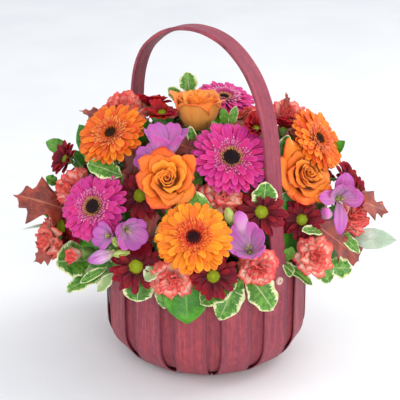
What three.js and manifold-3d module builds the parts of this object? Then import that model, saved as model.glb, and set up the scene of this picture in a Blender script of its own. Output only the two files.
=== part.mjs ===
// Flower basket arrangement: a round basket of stained wooden slats with a bent
// hoop handle, holding a dome of cut flowers and foliage in wet foam.
// Millimetres, +Z up, origin at the centre of the underside of the base board.
import * as THREE from 'three';
import { mergeVertices } from 'three/addons/utils/BufferGeometryUtils.js';
import Module from 'manifold-3d';

const wasm = await Module();
wasm.setup();

// ---- driving dimensions ----------------------------------------------------
const GAP = 0.3;                 // clearance between touching pieces
const BELLY_R = 99.4;            // outer radius of the slat wall
const FOOT_R = 50;               // radius where the wall leaves the base
const BELLY_Z = 42.4;            // height at which the wall stands upright
const RIM_Z = 118;               // top of the slats
const BASE_R = 52, BASE_T = 3;   // round base board
const STRIPS = 7;                // bent strips per layer, two slats each
const PITCH = 180 / STRIPS;      // angle between strips, degrees
const FIRST_AZ = 42;             // azimuth of the strip that carries the handle
const STRIP_T = 1.0;             // veneer thickness
const OUTER_W = 31, INNER_W = 26;
const INNER_IN = 2.3;            // inner layer set back from the outer one
const HOOP_R = 93.4, HOOP_T = 2.0, HOOP_H = 14;
const HANDLE_W = 17.5, HANDLE_T = 4.0, HANDLE_TWIST = 8;
const PEG_D = 8, PEG_Z = 109;
const FOAM_R = 60, FOAM_BOTTOM = 26, FOAM_TOP = 148;
const LINER_T = 1.2;

// ---- helpers ---------------------------------------------------------------
const rad = (d) => (d * Math.PI) / 180;
// azimuth is measured from -Y (the front) towards +X
const azDir = (a) => new THREE.Vector3(Math.sin(rad(a)), -Math.cos(rad(a)), 0);

function solid(geo) {
  let g = geo.clone();
  for (const k of Object.keys(g.attributes)) if (k !== 'position') g.deleteAttribute(k);
  g = mergeVertices(g, 1e-3);
  const p = g.attributes.position.array;
  const idx = Array.from(g.index.array);
  const tris = [];
  let vol = 0;
  for (let i = 0; i < idx.length; i += 3) {
    const [a, b, c] = [idx[i], idx[i + 1], idx[i + 2]];
    if (a === b || b === c || a === c) continue;
    tris.push(a, b, c);
    const [ax, ay, az] = [p[3 * a], p[3 * a + 1], p[3 * a + 2]];
    const [bx, by, bz] = [p[3 * b], p[3 * b + 1], p[3 * b + 2]];
    const [cx, cy, cz] = [p[3 * c], p[3 * c + 1], p[3 * c + 2]];
    vol += ax * (by * cz - bz * cy) - ay * (bx * cz - bz * cx) + az * (bx * cy - by * cx);
  }
  if (vol < 0) for (let i = 0; i < tris.length; i += 3) [tris[i + 1], tris[i + 2]] = [tris[i + 2], tris[i + 1]];
  return new wasm.Manifold(new wasm.Mesh({
    numProp: 3, vertProperties: new Float32Array(p), triVerts: new Uint32Array(tris),
  }));
}

function geometryOf(man) {
  const m = man.getMesh();
  const g = new THREE.BufferGeometry();
  const v = m.vertProperties, n = m.numProp;
  const pos = new Float32Array((v.length / n) * 3);
  for (let i = 0; i < v.length / n; i++) for (let k = 0; k < 3; k++) pos[3 * i + k] = v[n * i + k];
  g.setAttribute('position', new THREE.BufferAttribute(pos, 3));
  g.setIndex(new THREE.BufferAttribute(new Uint32Array(m.triVerts), 1));
  g.computeVertexNormals();
  return g;
}

// a placed frame: local Y runs along dir
function along(geo, origin, dir) {
  const q = new THREE.Quaternion().setFromUnitVectors(new THREE.Vector3(0, 1, 0), dir.clone().normalize());
  return geo.clone().applyQuaternion(q).translate(origin.x, origin.y, origin.z);
}

function rod(a, b, r, sides = 6) {
  const d = new THREE.Vector3().subVectors(b, a);
  const g = new THREE.CylinderGeometry(r, r, d.length(), sides);
  return along(g, new THREE.Vector3().addVectors(a, b).multiplyScalar(0.5), d);
}

// a skin lofted through sections of equal point count, with flat end caps
function loft(sections) {
  const n = sections[0].length, pos = [], idx = [];
  for (const s of sections) for (const v of s) pos.push(v.x, v.y, v.z);
  for (let i = 0; i < sections.length - 1; i++)
    for (let k = 0; k < n; k++) {
      const a = i * n + k, b = i * n + ((k + 1) % n), c = a + n, d = b + n;
      idx.push(a, b, d, a, d, c);
    }
  const last = (sections.length - 1) * n;
  for (let k = 1; k < n - 1; k++) { idx.push(0, k + 1, k); idx.push(last, last + k, last + k + 1); }
  const g = new THREE.BufferGeometry();
  g.setAttribute('position', new THREE.Float32BufferAttribute(pos, 3));
  g.setIndex(idx);
  return g;
}

const lathe = (profile, seg) => new THREE.LatheGeometry(profile.map(([r, y]) => new THREE.Vector2(r, y)), seg);

function union(list) {
  let m = list[0];
  for (let i = 1; i < list.length; i++) m = m.add(list[i]);
  return m;
}
function largest(man) {
  const parts = man.decompose();
  let best = parts[0];
  for (const p of parts) if (p.volume() > best.volume()) best = p;
  return best;
}

const object = new THREE.Group();
object.name = 'flower_basket_arrangement';
const solids = {};
function addPiece(name, man, colour, roughness, metalness = 0) {
  solids[name] = man;
  const mesh = new THREE.Mesh(geometryOf(man), new THREE.MeshStandardMaterial({ color: colour, roughness, metalness }));
  mesh.name = name;
  object.add(mesh);
}

// ---- basket ----------------------------------------------------------------
const STAIN = '#8c4654', STAIN_DARK = '#6f3240';

// half of the wall section, from the base outwards and up: [radius, height, inward normal]
function wall(inset, level, steps = 8) {
  const a = BELLY_R - FOOT_R, b = BELLY_Z, pts = [];
  const push = (r, z, nr, nz) => pts.push([r - nr * inset, z - nz * inset]);
  const q0 = level;
  for (let i = 0; i <= steps; i++) {
    const t = (Math.PI / 2) * (i / steps);
    const l = Math.hypot(Math.sin(t) / a, Math.cos(t) / b);
    const nr = Math.sin(t) / a / l, nz = -Math.cos(t) / b / l;
    push(FOOT_R + a * Math.sin(t), b * (1 - Math.cos(t)), nr, nz);
  }
  push(BELLY_R, RIM_Z, 1, 0);
  // flatten the run under the basket at its own level
  const out = [];
  for (let i = 0; i < pts.length; i++) {
    const [r, z] = pts[i];
    if (z > q0) {
      if (!out.length && i > 0) {
        const [r0, z0] = pts[i - 1];
        const k = (q0 - z0) / (z - z0);
        out.push([r0 + (r - r0) * k, q0]);
      }
      out.push([r, z]);
    }
  }
  return out;
}

function strip(azimuth, width, inset, level) {
  const outer = wall(inset, level), inner = wall(inset + STRIP_T, level + STRIP_T);
  const s = new THREE.Shape();
  const ring = [];
  for (let i = outer.length - 1; i >= 0; i--) ring.push([-outer[i][0], outer[i][1]]);
  for (let i = 0; i < outer.length; i++) ring.push(outer[i]);
  for (let i = inner.length - 1; i >= 0; i--) ring.push(inner[i]);
  for (let i = 0; i < inner.length; i++) ring.push([-inner[i][0], inner[i][1]]);
  ring.forEach(([x, y], i) => (i ? s.lineTo(x, y) : s.moveTo(x, y)));
  s.closePath();
  const g = new THREE.ExtrudeGeometry(s, { depth: width, bevelEnabled: false, steps: 1 });
  g.translate(0, 0, -width / 2);
  g.rotateX(Math.PI / 2);                   // section plane X-Z, width along Y
  g.rotateZ(rad(azimuth - 90));
  return solid(g);
}

function pegGeometry(side, grow = 0) {
  const d = azDir(FIRST_AZ).multiplyScalar(side);
  const a = d.clone().multiplyScalar(87 - grow); a.z = PEG_Z;
  const b = d.clone().multiplyScalar(106.2 + grow); b.z = PEG_Z;
  return rod(a, b, PEG_D / 2 + grow, 10);
}
const pegHoles = union([solid(pegGeometry(1, GAP)), solid(pegGeometry(-1, GAP))]);

addPiece('base_board', solid(new THREE.CylinderGeometry(BASE_R, BASE_R, BASE_T, 40).rotateX(Math.PI / 2)
  .translate(0, 0, BASE_T / 2)), STAIN_DARK, 0.8);

// the lowest levels belong to the slats seen at the front
const ORDER = [-2, -1, 0, -3, 1, -4, 2];
ORDER.forEach((k, i) => {
  let m = strip(FIRST_AZ + k * PITCH, OUTER_W, 0, BASE_T + GAP + i * (STRIP_T + GAP));
  if (k === 0) m = m.subtract(pegHoles);
  addPiece(`outer_strip_${i + 1}`, m, STAIN, 0.75);
});
const INNER0 = BASE_T + GAP + STRIPS * (STRIP_T + GAP);
ORDER.forEach((k, i) => {
  addPiece(`inner_strip_${i + 1}`, strip(FIRST_AZ + (k + 0.5) * PITCH, INNER_W, INNER_IN, INNER0 + i * (STRIP_T + GAP)), STAIN_DARK, 0.78);
});

const hoop = solid(lathe([[HOOP_R - HOOP_T, RIM_Z - HOOP_H], [HOOP_R, RIM_Z - HOOP_H], [HOOP_R, RIM_Z],
  [HOOP_R - HOOP_T, RIM_Z], [HOOP_R - HOOP_T, RIM_Z - HOOP_H]], 40).rotateX(Math.PI / 2));
addPiece('rim_hoop', hoop.subtract(pegHoles), STAIN_DARK, 0.78);

// hoop handle: centreline [radius towards the near leg, height] in its own plane
const HANDLE_PATH = [[101.9, 97], [101.9, 108], [101.8, 119], [100.6, 132], [97.8, 150], [94.6, 180], [91.6, 215],
  [88.2, 244], [82, 270], [68, 298], [51, 316], [29, 329], [9, 334.2], [-8, 335.4], [-25, 334], [-43, 329.8],
  [-63, 321.5], [-78, 311.5], [-89, 301.5], [-96.5, 290], [-102, 277], [-105.6, 262], [-107.4, 245], [-108, 222],
  [-107.4, 190], [-105.4, 150], [-103.4, 132], [-102, 119], [-101.9, 108], [-101.9, 97]];
function handleSolid(e = 0) {
  const h = azDir(FIRST_AZ), n = new THREE.Vector3(Math.cos(rad(FIRST_AZ)), Math.sin(rad(FIRST_AZ)), 0);
  const curve = new THREE.CatmullRomCurve3(HANDLE_PATH.map(([r, z]) => new THREE.Vector3(h.x * r, h.y * r, z)), false, 'centripetal');
  const N = 40, sections = [];
  for (let i = 0; i <= N; i++) {
    const u = i / N, p = curve.getPointAt(u), t = curve.getTangentAt(u);
    if (i === 0 || i === N) t.set(0, 0, i ? -1 : 1);
    if (i === 0 || i === N) p.z -= e;
    const out = new THREE.Vector3().crossVectors(t, n).normalize();
    if (out.dot(new THREE.Vector3(p.x, p.y, p.z - 200)) < 0) out.negate();
    const w = new THREE.Vector3().crossVectors(out, t).normalize();
    const tw = -rad(HANDLE_TWIST) * Math.sin(2 * Math.PI * u) ** 2;
    out.applyAxisAngle(t, tw); w.applyAxisAngle(t, tw);
    const q = (a, b) => p.clone().addScaledVector(out, a * (HANDLE_T / 2 + e)).addScaledVector(w, b * (HANDLE_W / 2 + e));
    sections.push([q(-1, -1), q(1, -1), q(1, 1), q(-1, 1)]);
  }
  return solid(loft(sections));
}
addPiece('handle', handleSolid().subtract(pegHoles), STAIN, 0.7);
addPiece('peg_near', solid(pegGeometry(1)), '#c9a08f', 0.8);
addPiece('peg_far', solid(pegGeometry(-1)), '#c9a08f', 0.8);

// plastic liner bowl and the wet foam it holds
const FLOOR_Z = INNER0 + STRIPS * (STRIP_T + GAP) + 0.2;
addPiece('liner', solid(lathe([[0, FLOOR_Z], [58, FLOOR_Z], [80, 40], [88, 62], [89.5, 100], [89.5 - LINER_T, 100],
  [88 - LINER_T, 62.3], [80 - LINER_T, 40.6], [57.4, FLOOR_Z + LINER_T], [0, FLOOR_Z + LINER_T]], 24).rotateX(Math.PI / 2)),
  '#20241f', 0.5);

// ---- flower and leaf places -------------------------------------------------
// heads: centre of the face, the way it faces, its radius
const HEADS = [
  { kind: 'gerbera', node: 'gerbera_orange_left', p: [-92.7, -22.0, 240.4], n: [-0.421, -0.62, 0.662], R: 34, col: 'orange' },
  { kind: 'gerbera', node: 'gerbera_pink_left', p: [-107.3, -64.0, 181.2], n: [-0.402, -0.729, 0.554], R: 32, col: 'pink' },
  { kind: 'gerbera', node: 'gerbera_pink_centre', p: [23.5, -56.0, 228.8], n: [0.1, -0.855, 0.508], R: 38, col: 'pink' },
  { kind: 'gerbera', node: 'gerbera_yellow_front', p: [-13.0, -120.0, 174.1], n: [0.0, -0.934, 0.356], R: 34.5, col: 'yellow' },
  { kind: 'gerbera', node: 'gerbera_pink_top', p: [21.2, 50.0, 252.3], n: [0.12, -0.177, 0.977], R: 32, col: 'pink' },
  { kind: 'gerbera', node: 'gerbera_orange_right', p: [111.0, -6.0, 229.2], n: [0.661, -0.418, 0.623], R: 32, col: 'orange' },
  { kind: 'gerbera', node: 'gerbera_orange_back', p: [-60.1, 106.4, 161.8], n: [-0.412, 0.845, 0.342], R: 34, col: 'orange' },
  { kind: 'gerbera', node: 'gerbera_pink_back', p: [67.0, 92.5, 183.0], n: [0.459, 0.734, 0.5], R: 35, col: 'pink' },
  { kind: 'rose', node: 'rose_top', p: [-10.0, 4.0, 267.4], n: [0.02, 0.005, 1.0], R: 25 },
  { kind: 'rose', node: 'rose_centre', p: [-35.6, -90.0, 219.2], n: [-0.04, -0.821, 0.57], R: 30 },
  { kind: 'rose', node: 'rose_right', p: [98.9, -44.0, 208.6], n: [0.28, -0.796, 0.537], R: 30 },
  { kind: 'rose', node: 'rose_back', p: [0.0, 81.0, 218.6], n: [0.0, 0.643, 0.766], R: 28 },
  { kind: 'carn', node: 'carnation_left', p: [-132.8, -26.0, 186.7], n: [-0.622, -0.594, 0.51], R: 20 },
  { kind: 'carn', node: 'carnation_left', p: [-157.9, -24.0, 131.0], n: [-0.856, -0.512, 0.077], R: 19 },
  { kind: 'carn', node: 'carnation_left', p: [-123.4, -66.0, 133.2], n: [-0.852, -0.521, 0.048], R: 10, bud: 1 },
  { kind: 'carn', node: 'carnation_top', p: [-82.3, 22.0, 253.4], n: [-0.199, -0.263, 0.944], R: 22 },
  { kind: 'carn', node: 'carnation_top', p: [39.1, 12.0, 253.5], n: [0.151, -0.265, 0.952], R: 19 },
  { kind: 'carn', node: 'carnation_top', p: [80.3, 38.0, 241.9], n: [0.121, -0.239, 0.963], R: 20 },
  { kind: 'carn', node: 'carnation_front', p: [14.0, -75.0, 199.4], n: [0.0, -0.885, 0.466], R: 20.5 },
  { kind: 'carn', node: 'carnation_front', p: [-35.4, -114.0, 129.5], n: [-0.08, -0.988, 0.128], R: 17.5 },
  { kind: 'carn', node: 'carnation_front', p: [47.6, -102.0, 135.1], n: [0.101, -0.956, 0.277], R: 18.5 },
  { kind: 'carn', node: 'carnation_right', p: [100.9, -78.0, 136.0], n: [0.161, -0.942, 0.294], R: 19 },
  { kind: 'carn', node: 'carnation_right', p: [146.6, -18.0, 146.8], n: [0.707, -0.656, 0.265], R: 18 },
  { kind: 'carn', node: 'carnation_back', p: [5.0, 124.4, 137.0], n: [0.034, 0.987, 0.156], R: 20 },
  { kind: 'carn', node: 'carnation_back', p: [-113.6, 76.6, 137.0], n: [-0.778, 0.608, 0.156], R: 20 },
  { kind: 'carn', node: 'carnation_back', p: [114.8, 74.7, 139.3], n: [0.787, 0.593, 0.174], R: 20 },
  { kind: 'mum', node: 'chrysanthemum_front', p: [-65.9, -104.0, 136.0], n: [-0.08, -0.957, 0.279], R: 25.5 },
  { kind: 'mum', node: 'chrysanthemum_front', p: [5.3, -115.0, 132.5], n: [0.02, -0.979, 0.201], R: 24.5 },
  { kind: 'mum', node: 'chrysanthemum_left', p: [-63.7, -62.0, 191.6], n: [-0.25, -0.846, 0.471], R: 26 },
  { kind: 'mum', node: 'chrysanthemum_left', p: [-139.9, 4.0, 204.2], n: [-0.723, -0.464, 0.512], R: 20 },
  { kind: 'mum', node: 'chrysanthemum_left', p: [-146.4, -16.0, 140.6], n: [-0.751, -0.613, 0.247], R: 22 },
  { kind: 'mum', node: 'chrysanthemum_right', p: [48.1, -88.0, 183.2], n: [0.04, -0.893, 0.448], R: 24 },
  { kind: 'mum', node: 'chrysanthemum_right', p: [90.6, -58.0, 165.0], n: [-0.081, -0.916, 0.392], R: 22 },
  { kind: 'mum', node: 'chrysanthemum_side', p: [137.9, 0.0, 185.6], n: [0.798, -0.415, 0.437], R: 20 },
  { kind: 'mum', node: 'chrysanthemum_side', p: [148.8, -6.0, 171.9], n: [0.852, -0.408, 0.327], R: 20 },
  { kind: 'mum', node: 'chrysanthemum_side', p: [117.2, 40.9, 183.0], n: [0.803, 0.324, 0.5], R: 23 },
  { kind: 'mum', node: 'chrysanthemum_top', p: [-54.6, 24.0, 261.1], n: [-0.1, -0.323, 0.941], R: 21 },
  { kind: 'mum', node: 'chrysanthemum_top', p: [-44.0, -2.0, 254.0], n: [-0.05, -0.39, 0.919], R: 19 },
  { kind: 'mum', node: 'chrysanthemum_top', p: [40.8, -24.0, 251.2], n: [0.279, -0.401, 0.872], R: 20 },
  { kind: 'mum', node: 'chrysanthemum_top', p: [75.4, 5.0, 237.3], n: [0.201, -0.491, 0.848], R: 19 },
  { kind: 'mum', node: 'chrysanthemum_back', p: [54.7, 116.8, 120.7], n: [0.374, 0.927, 0.035], R: 23 },
  { kind: 'mum', node: 'chrysanthemum_back', p: [-38.0, 64.4, 225.8], n: [-0.26, 0.511, 0.819], R: 23 },
  { kind: 'mum', node: 'chrysanthemum_back', p: [-107.2, 57.8, 183.0], n: [-0.734, 0.459, 0.5], R: 23 },
  { kind: 'freesia', node: 'freesia_upper', p: [-40.5, -52.0, 233.8], n: [0.02, -0.062, 0.998], R: 22 },
  { kind: 'freesia', node: 'freesia_upper', p: [-54.1, -56.0, 229.3], n: [-0.553, -0.568, 0.609], R: 15 },
  { kind: 'freesia', node: 'freesia_left', p: [-76.2, -90.0, 167.1], n: [0.151, -0.949, 0.275], R: 20 },
  { kind: 'freesia', node: 'freesia_left', p: [-95.3, -84.0, 166.6], n: [-0.699, -0.704, 0.123], R: 16 },
  { kind: 'freesia', node: 'freesia_left', p: [-93.2, -96.0, 145.8], n: [-0.954, -0.269, -0.13], R: 13, bud: 1 },
  { kind: 'freesia', node: 'freesia_front', p: [37.3, -106.0, 159.9], n: [0.15, -0.482, 0.863], R: 19 },
  { kind: 'freesia', node: 'freesia_front', p: [28.9, -100.0, 180.5], n: [-0.1, -0.323, 0.941], R: 12, bud: 1 },
  { kind: 'freesia', node: 'freesia_right', p: [129.1, -40.0, 182.3], n: [0.252, -0.877, 0.409], R: 25 },
  { kind: 'freesia', node: 'freesia_right', p: [114.0, -52.0, 169.5], n: [-0.201, -0.866, 0.458], R: 12, bud: 1 },
  { kind: 'freesia', node: 'freesia_back', p: [-2.2, 111.2, 178.9], n: [-0.015, 0.883, 0.469], R: 22 },
  { kind: 'freesia', node: 'freesia_back', p: [24.3, 78.2, 218.6], n: [0.166, 0.621, 0.766], R: 18 },
  { kind: 'mum', node: 'chrysanthemum_back', p: [138.8, 27.9, 127.3], n: [0.957, 0.223, 0.184], R: 23 },
  { kind: 'carn', node: 'carnation_back', p: [-134.6, 34.7, 141.0], n: [-0.919, 0.275, 0.284], R: 20 },
  { kind: 'freesia', node: 'freesia_back', p: [-79.2, 43.4, 215.1], n: [-0.514, 0.326, 0.793], R: 19 },
  { kind: 'mum', node: 'chrysanthemum_side', p: [-85.0, 99.3, 119.3], n: [-0.59, 0.798, 0.124], R: 22 },
  { kind: 'carn', node: 'carnation_back', p: [-104.1, 18.3, 203.9], n: [-0.68, 0.139, 0.72], R: 20 },
  { kind: 'mum', node: 'chrysanthemum_back', p: [-37.4, 119.2, 117.8], n: [-0.26, 0.959, 0.113], R: 22 },
  { kind: 'mum', node: 'chrysanthemum_back', p: [55.8, 59.1, 219.3], n: [0.361, 0.443, 0.82], R: 23 },
  { kind: 'carn', node: 'carnation_back', p: [-131.7, 9.1, 166.3], n: [-0.883, 0.071, 0.463], R: 20 },
  { kind: 'freesia', node: 'freesia_back', p: [90.7, 95.4, 118.8], n: [0.63, 0.767, 0.121], R: 19 },
  { kind: 'mum', node: 'chrysanthemum_side', p: [-68.5, 75.8, 198.4], n: [-0.449, 0.576, 0.683], R: 22 },
  { kind: 'carn', node: 'carnation_back', p: [92.9, 31.5, 210.1], n: [0.605, 0.238, 0.76], R: 20 },
];
// leaves: base, tip, upper face, blade width
const LEAVES = [
  { kind: 'pitto', node: 'pittosporum_left', b: [-111.6, -62.0, 122.4], t: [-145.4, -70.0, 125.0], f: [-0.196, -0.507, 0.839], w: 29 },
  { kind: 'pitto', node: 'pittosporum_left', b: [-97.0, -78.0, 119.2], t: [-135.4, -84.0, 102.0], f: [-0.1, -0.33, 0.939], w: 16 },
  { kind: 'pitto', node: 'pittosporum_left', b: [-135.9, 6.0, 209.8], t: [-157.9, 4.0, 221.0], f: [-0.101, -0.606, 0.789], w: 14 },
  { kind: 'pitto', node: 'pittosporum_left', b: [-81.3, -50.0, 206.8], t: [-114.6, -46.0, 218.5], f: [0.0, -0.609, 0.793], w: 18 },
  { kind: 'pitto', node: 'pittosporum_front', b: [-63.7, -96.0, 126.0], t: [-66.3, -108.0, 102.2], f: [0.0, -0.741, 0.672], w: 32 },
  { kind: 'pitto', node: 'pittosporum_front', b: [-37.3, -100.0, 126.0], t: [-35.4, -109.0, 94.3], f: [-0.197, -0.756, 0.624], w: 15 },
  { kind: 'pitto', node: 'pittosporum_front', b: [-46.4, -100.0, 137.8], t: [-60.4, -104.0, 127.3], f: [-0.796, -0.516, 0.316], w: 16 },
  { kind: 'pitto', node: 'pittosporum_front', b: [28.6, -100.0, 126.0], t: [-7.1, -112.0, 102.1], f: [-0.1, -0.61, 0.786], w: 28 },
  { kind: 'pitto', node: 'pittosporum_front', b: [30.6, -98.0, 126.0], t: [10.8, -113.0, 85.8], f: [0.1, -0.767, 0.633], w: 28 },
  { kind: 'pitto', node: 'pittosporum_front', b: [36.3, -98.0, 126.0], t: [62.7, -107.0, 93.3], f: [0.15, -0.648, 0.747], w: 31 },
  { kind: 'pitto', node: 'pittosporum_front', b: [6.0, -84.0, 183.9], t: [-25.6, -92.0, 202.2], f: [0.0, -0.331, 0.944], w: 20 },
  { kind: 'pitto', node: 'pittosporum_right', b: [105.1, -62.0, 122.4], t: [118.4, -72.0, 104.7], f: [0.199, -0.681, 0.705], w: 22 },
  { kind: 'pitto', node: 'pittosporum_right', b: [134.1, -31.2, 135.4], t: [151.0, -34.0, 119.3], f: [0.303, -0.56, 0.771], w: 15 },
  { kind: 'pitto', node: 'pittosporum_right', b: [119.7, -52.0, 117.8], t: [145.6, -48.0, 115.9], f: [0.2, -0.593, 0.78], w: 20 },
  { kind: 'pitto', node: 'pittosporum_right', b: [51.1, -78.0, 181.4], t: [54.0, -84.0, 213.9], f: [0.1, -0.923, 0.373], w: 25 },
  { kind: 'pitto', node: 'pittosporum_right', b: [75.8, -66.0, 126.0], t: [80.5, -74.0, 143.6], f: [0.1, -0.828, 0.551], w: 13 },
  { kind: 'pitto', node: 'pittosporum_top', b: [-17.0, 32.0, 262.7], t: [-20.0, 38.0, 283.6], f: [0.0, -0.885, 0.466], w: 19 },
  { kind: 'pitto', node: 'pittosporum_top', b: [-25.0, 28.0, 257.7], t: [-38.6, 22.0, 272.0], f: [-0.206, -0.745, 0.635], w: 13 },
  { kind: 'pitto', node: 'pittosporum_top', b: [71.9, -30.0, 215.7], t: [77.0, -30.0, 241.1], f: [-0.1, -0.88, 0.464], w: 15 },
  { kind: 'pitto', node: 'pittosporum_back', b: [61.0, 91.2, 127.8], t: [79.0, 122.4, 102.6], f: [0.397, 0.688, 0.608], w: 26 },
  { kind: 'pitto', node: 'pittosporum_back', b: [17.4, 106.7, 128.0], t: [22.4, 142.3, 99.3], f: [0.114, 0.813, 0.571], w: 28 },
  { kind: 'pitto', node: 'pittosporum_back', b: [-38.6, 102.5, 128.0], t: [-49.5, 136.0, 101.7], f: [-0.25, 0.768, 0.589], w: 26 },
  { kind: 'pitto', node: 'pittosporum_back', b: [-89.6, 74.7, 130.0], t: [-115.2, 99.4, 107.6], f: [-0.556, 0.537, 0.634], w: 26 },
  { kind: 'pitto', node: 'pittosporum_back', b: [-18.0, 88.3, 185.3], t: [-34.6, 106.9, 208.5], f: [0.461, -0.133, 0.877], w: 22 },
  { kind: 'oak', node: 'oak_left', b: [-144.2, -13.0, 157.6], t: [-192.2, -10.0, 172.4], f: [0.049, -0.574, 0.817], w: 44 },
  { kind: 'oak', node: 'oak_left', b: [-140.3, -22.0, 128.0], t: [-173.7, -26.0, 105.8], f: [0.0, -0.613, 0.79], w: 30 },
  { kind: 'oak', node: 'oak_left', b: [-89.9, 12.0, 240.1], t: [-126.4, 16.0, 251.2], f: [0.101, -0.389, 0.916], w: 18 },
  { kind: 'oak', node: 'oak_mid', b: [-70.6, -40.0, 192.7], t: [-68.2, -34.0, 237.5], f: [0.0, -0.771, 0.636], w: 30 },
  { kind: 'oak', node: 'oak_mid', b: [-52.6, -66.0, 182.5], t: [-55.9, -90.0, 151.8], f: [-0.201, -0.866, 0.458], w: 26 },
  { kind: 'oak', node: 'oak_mid', b: [-114.1, 32.0, 139.4], t: [-161.3, 65.1, 145.5], f: [-0.355, 0.085, 0.931], w: 38 },
  { kind: 'oak', node: 'oak_right', b: [153.9, -7.5, 162.1], t: [182.0, -4.0, 150.7], f: [0.1, -0.514, 0.852], w: 34 },
  { kind: 'oak', node: 'oak_right', b: [127.4, -44.0, 132.9], t: [151.1, -44.0, 113.0], f: [0.101, -0.652, 0.752], w: 30 },
  { kind: 'oak', node: 'oak_back', b: [83.0, 76.8, 129.7], t: [109.6, 120.0, 118.3], f: [0.375, 0.455, 0.807], w: 38 },
  { kind: 'oak', node: 'oak_back', b: [-16.9, 104.0, 129.7], t: [-14.3, 149.2, 108.4], f: [-0.034, 0.712, 0.701], w: 36 },
  { kind: 'oak', node: 'oak_back', b: [-60.4, 57.9, 196.1], t: [-78.9, 78.4, 230.3], f: [0.372, -0.414, 0.831], w: 30 },
  { kind: 'salal', node: 'salal_front', b: [-22.2, -96.0, 126.0], t: [-18.4, -112.0, 81.1], f: [0.05, -0.735, 0.676], w: 42 },
  { kind: 'salal', node: 'salal_front', b: [161.5, -9.2, 131.5], t: [193.1, -2.0, 119.2], f: [0.104, -0.285, 0.953], w: 17 },
  { kind: 'salal', node: 'salal_left', b: [-100.2, -22.0, 210.7], t: [-124.5, -8.0, 244.8], f: [-0.3, -0.842, 0.448], w: 26 },
  { kind: 'salal', node: 'salal_left', b: [118.0, 8.0, 205.9], t: [135.8, 4.0, 223.1], f: [0.206, -0.745, 0.635], w: 15 },
  { kind: 'salal', node: 'salal_left', b: [37.6, 99.9, 129.7], t: [40.6, 144.1, 102.5], f: [0.143, 0.751, 0.644], w: 36 },
  { kind: 'salal', node: 'salal_left', b: [-64.5, 89.1, 129.7], t: [-80.1, 130.4, 102.3], f: [-0.338, 0.689, 0.641], w: 36 },
];
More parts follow.
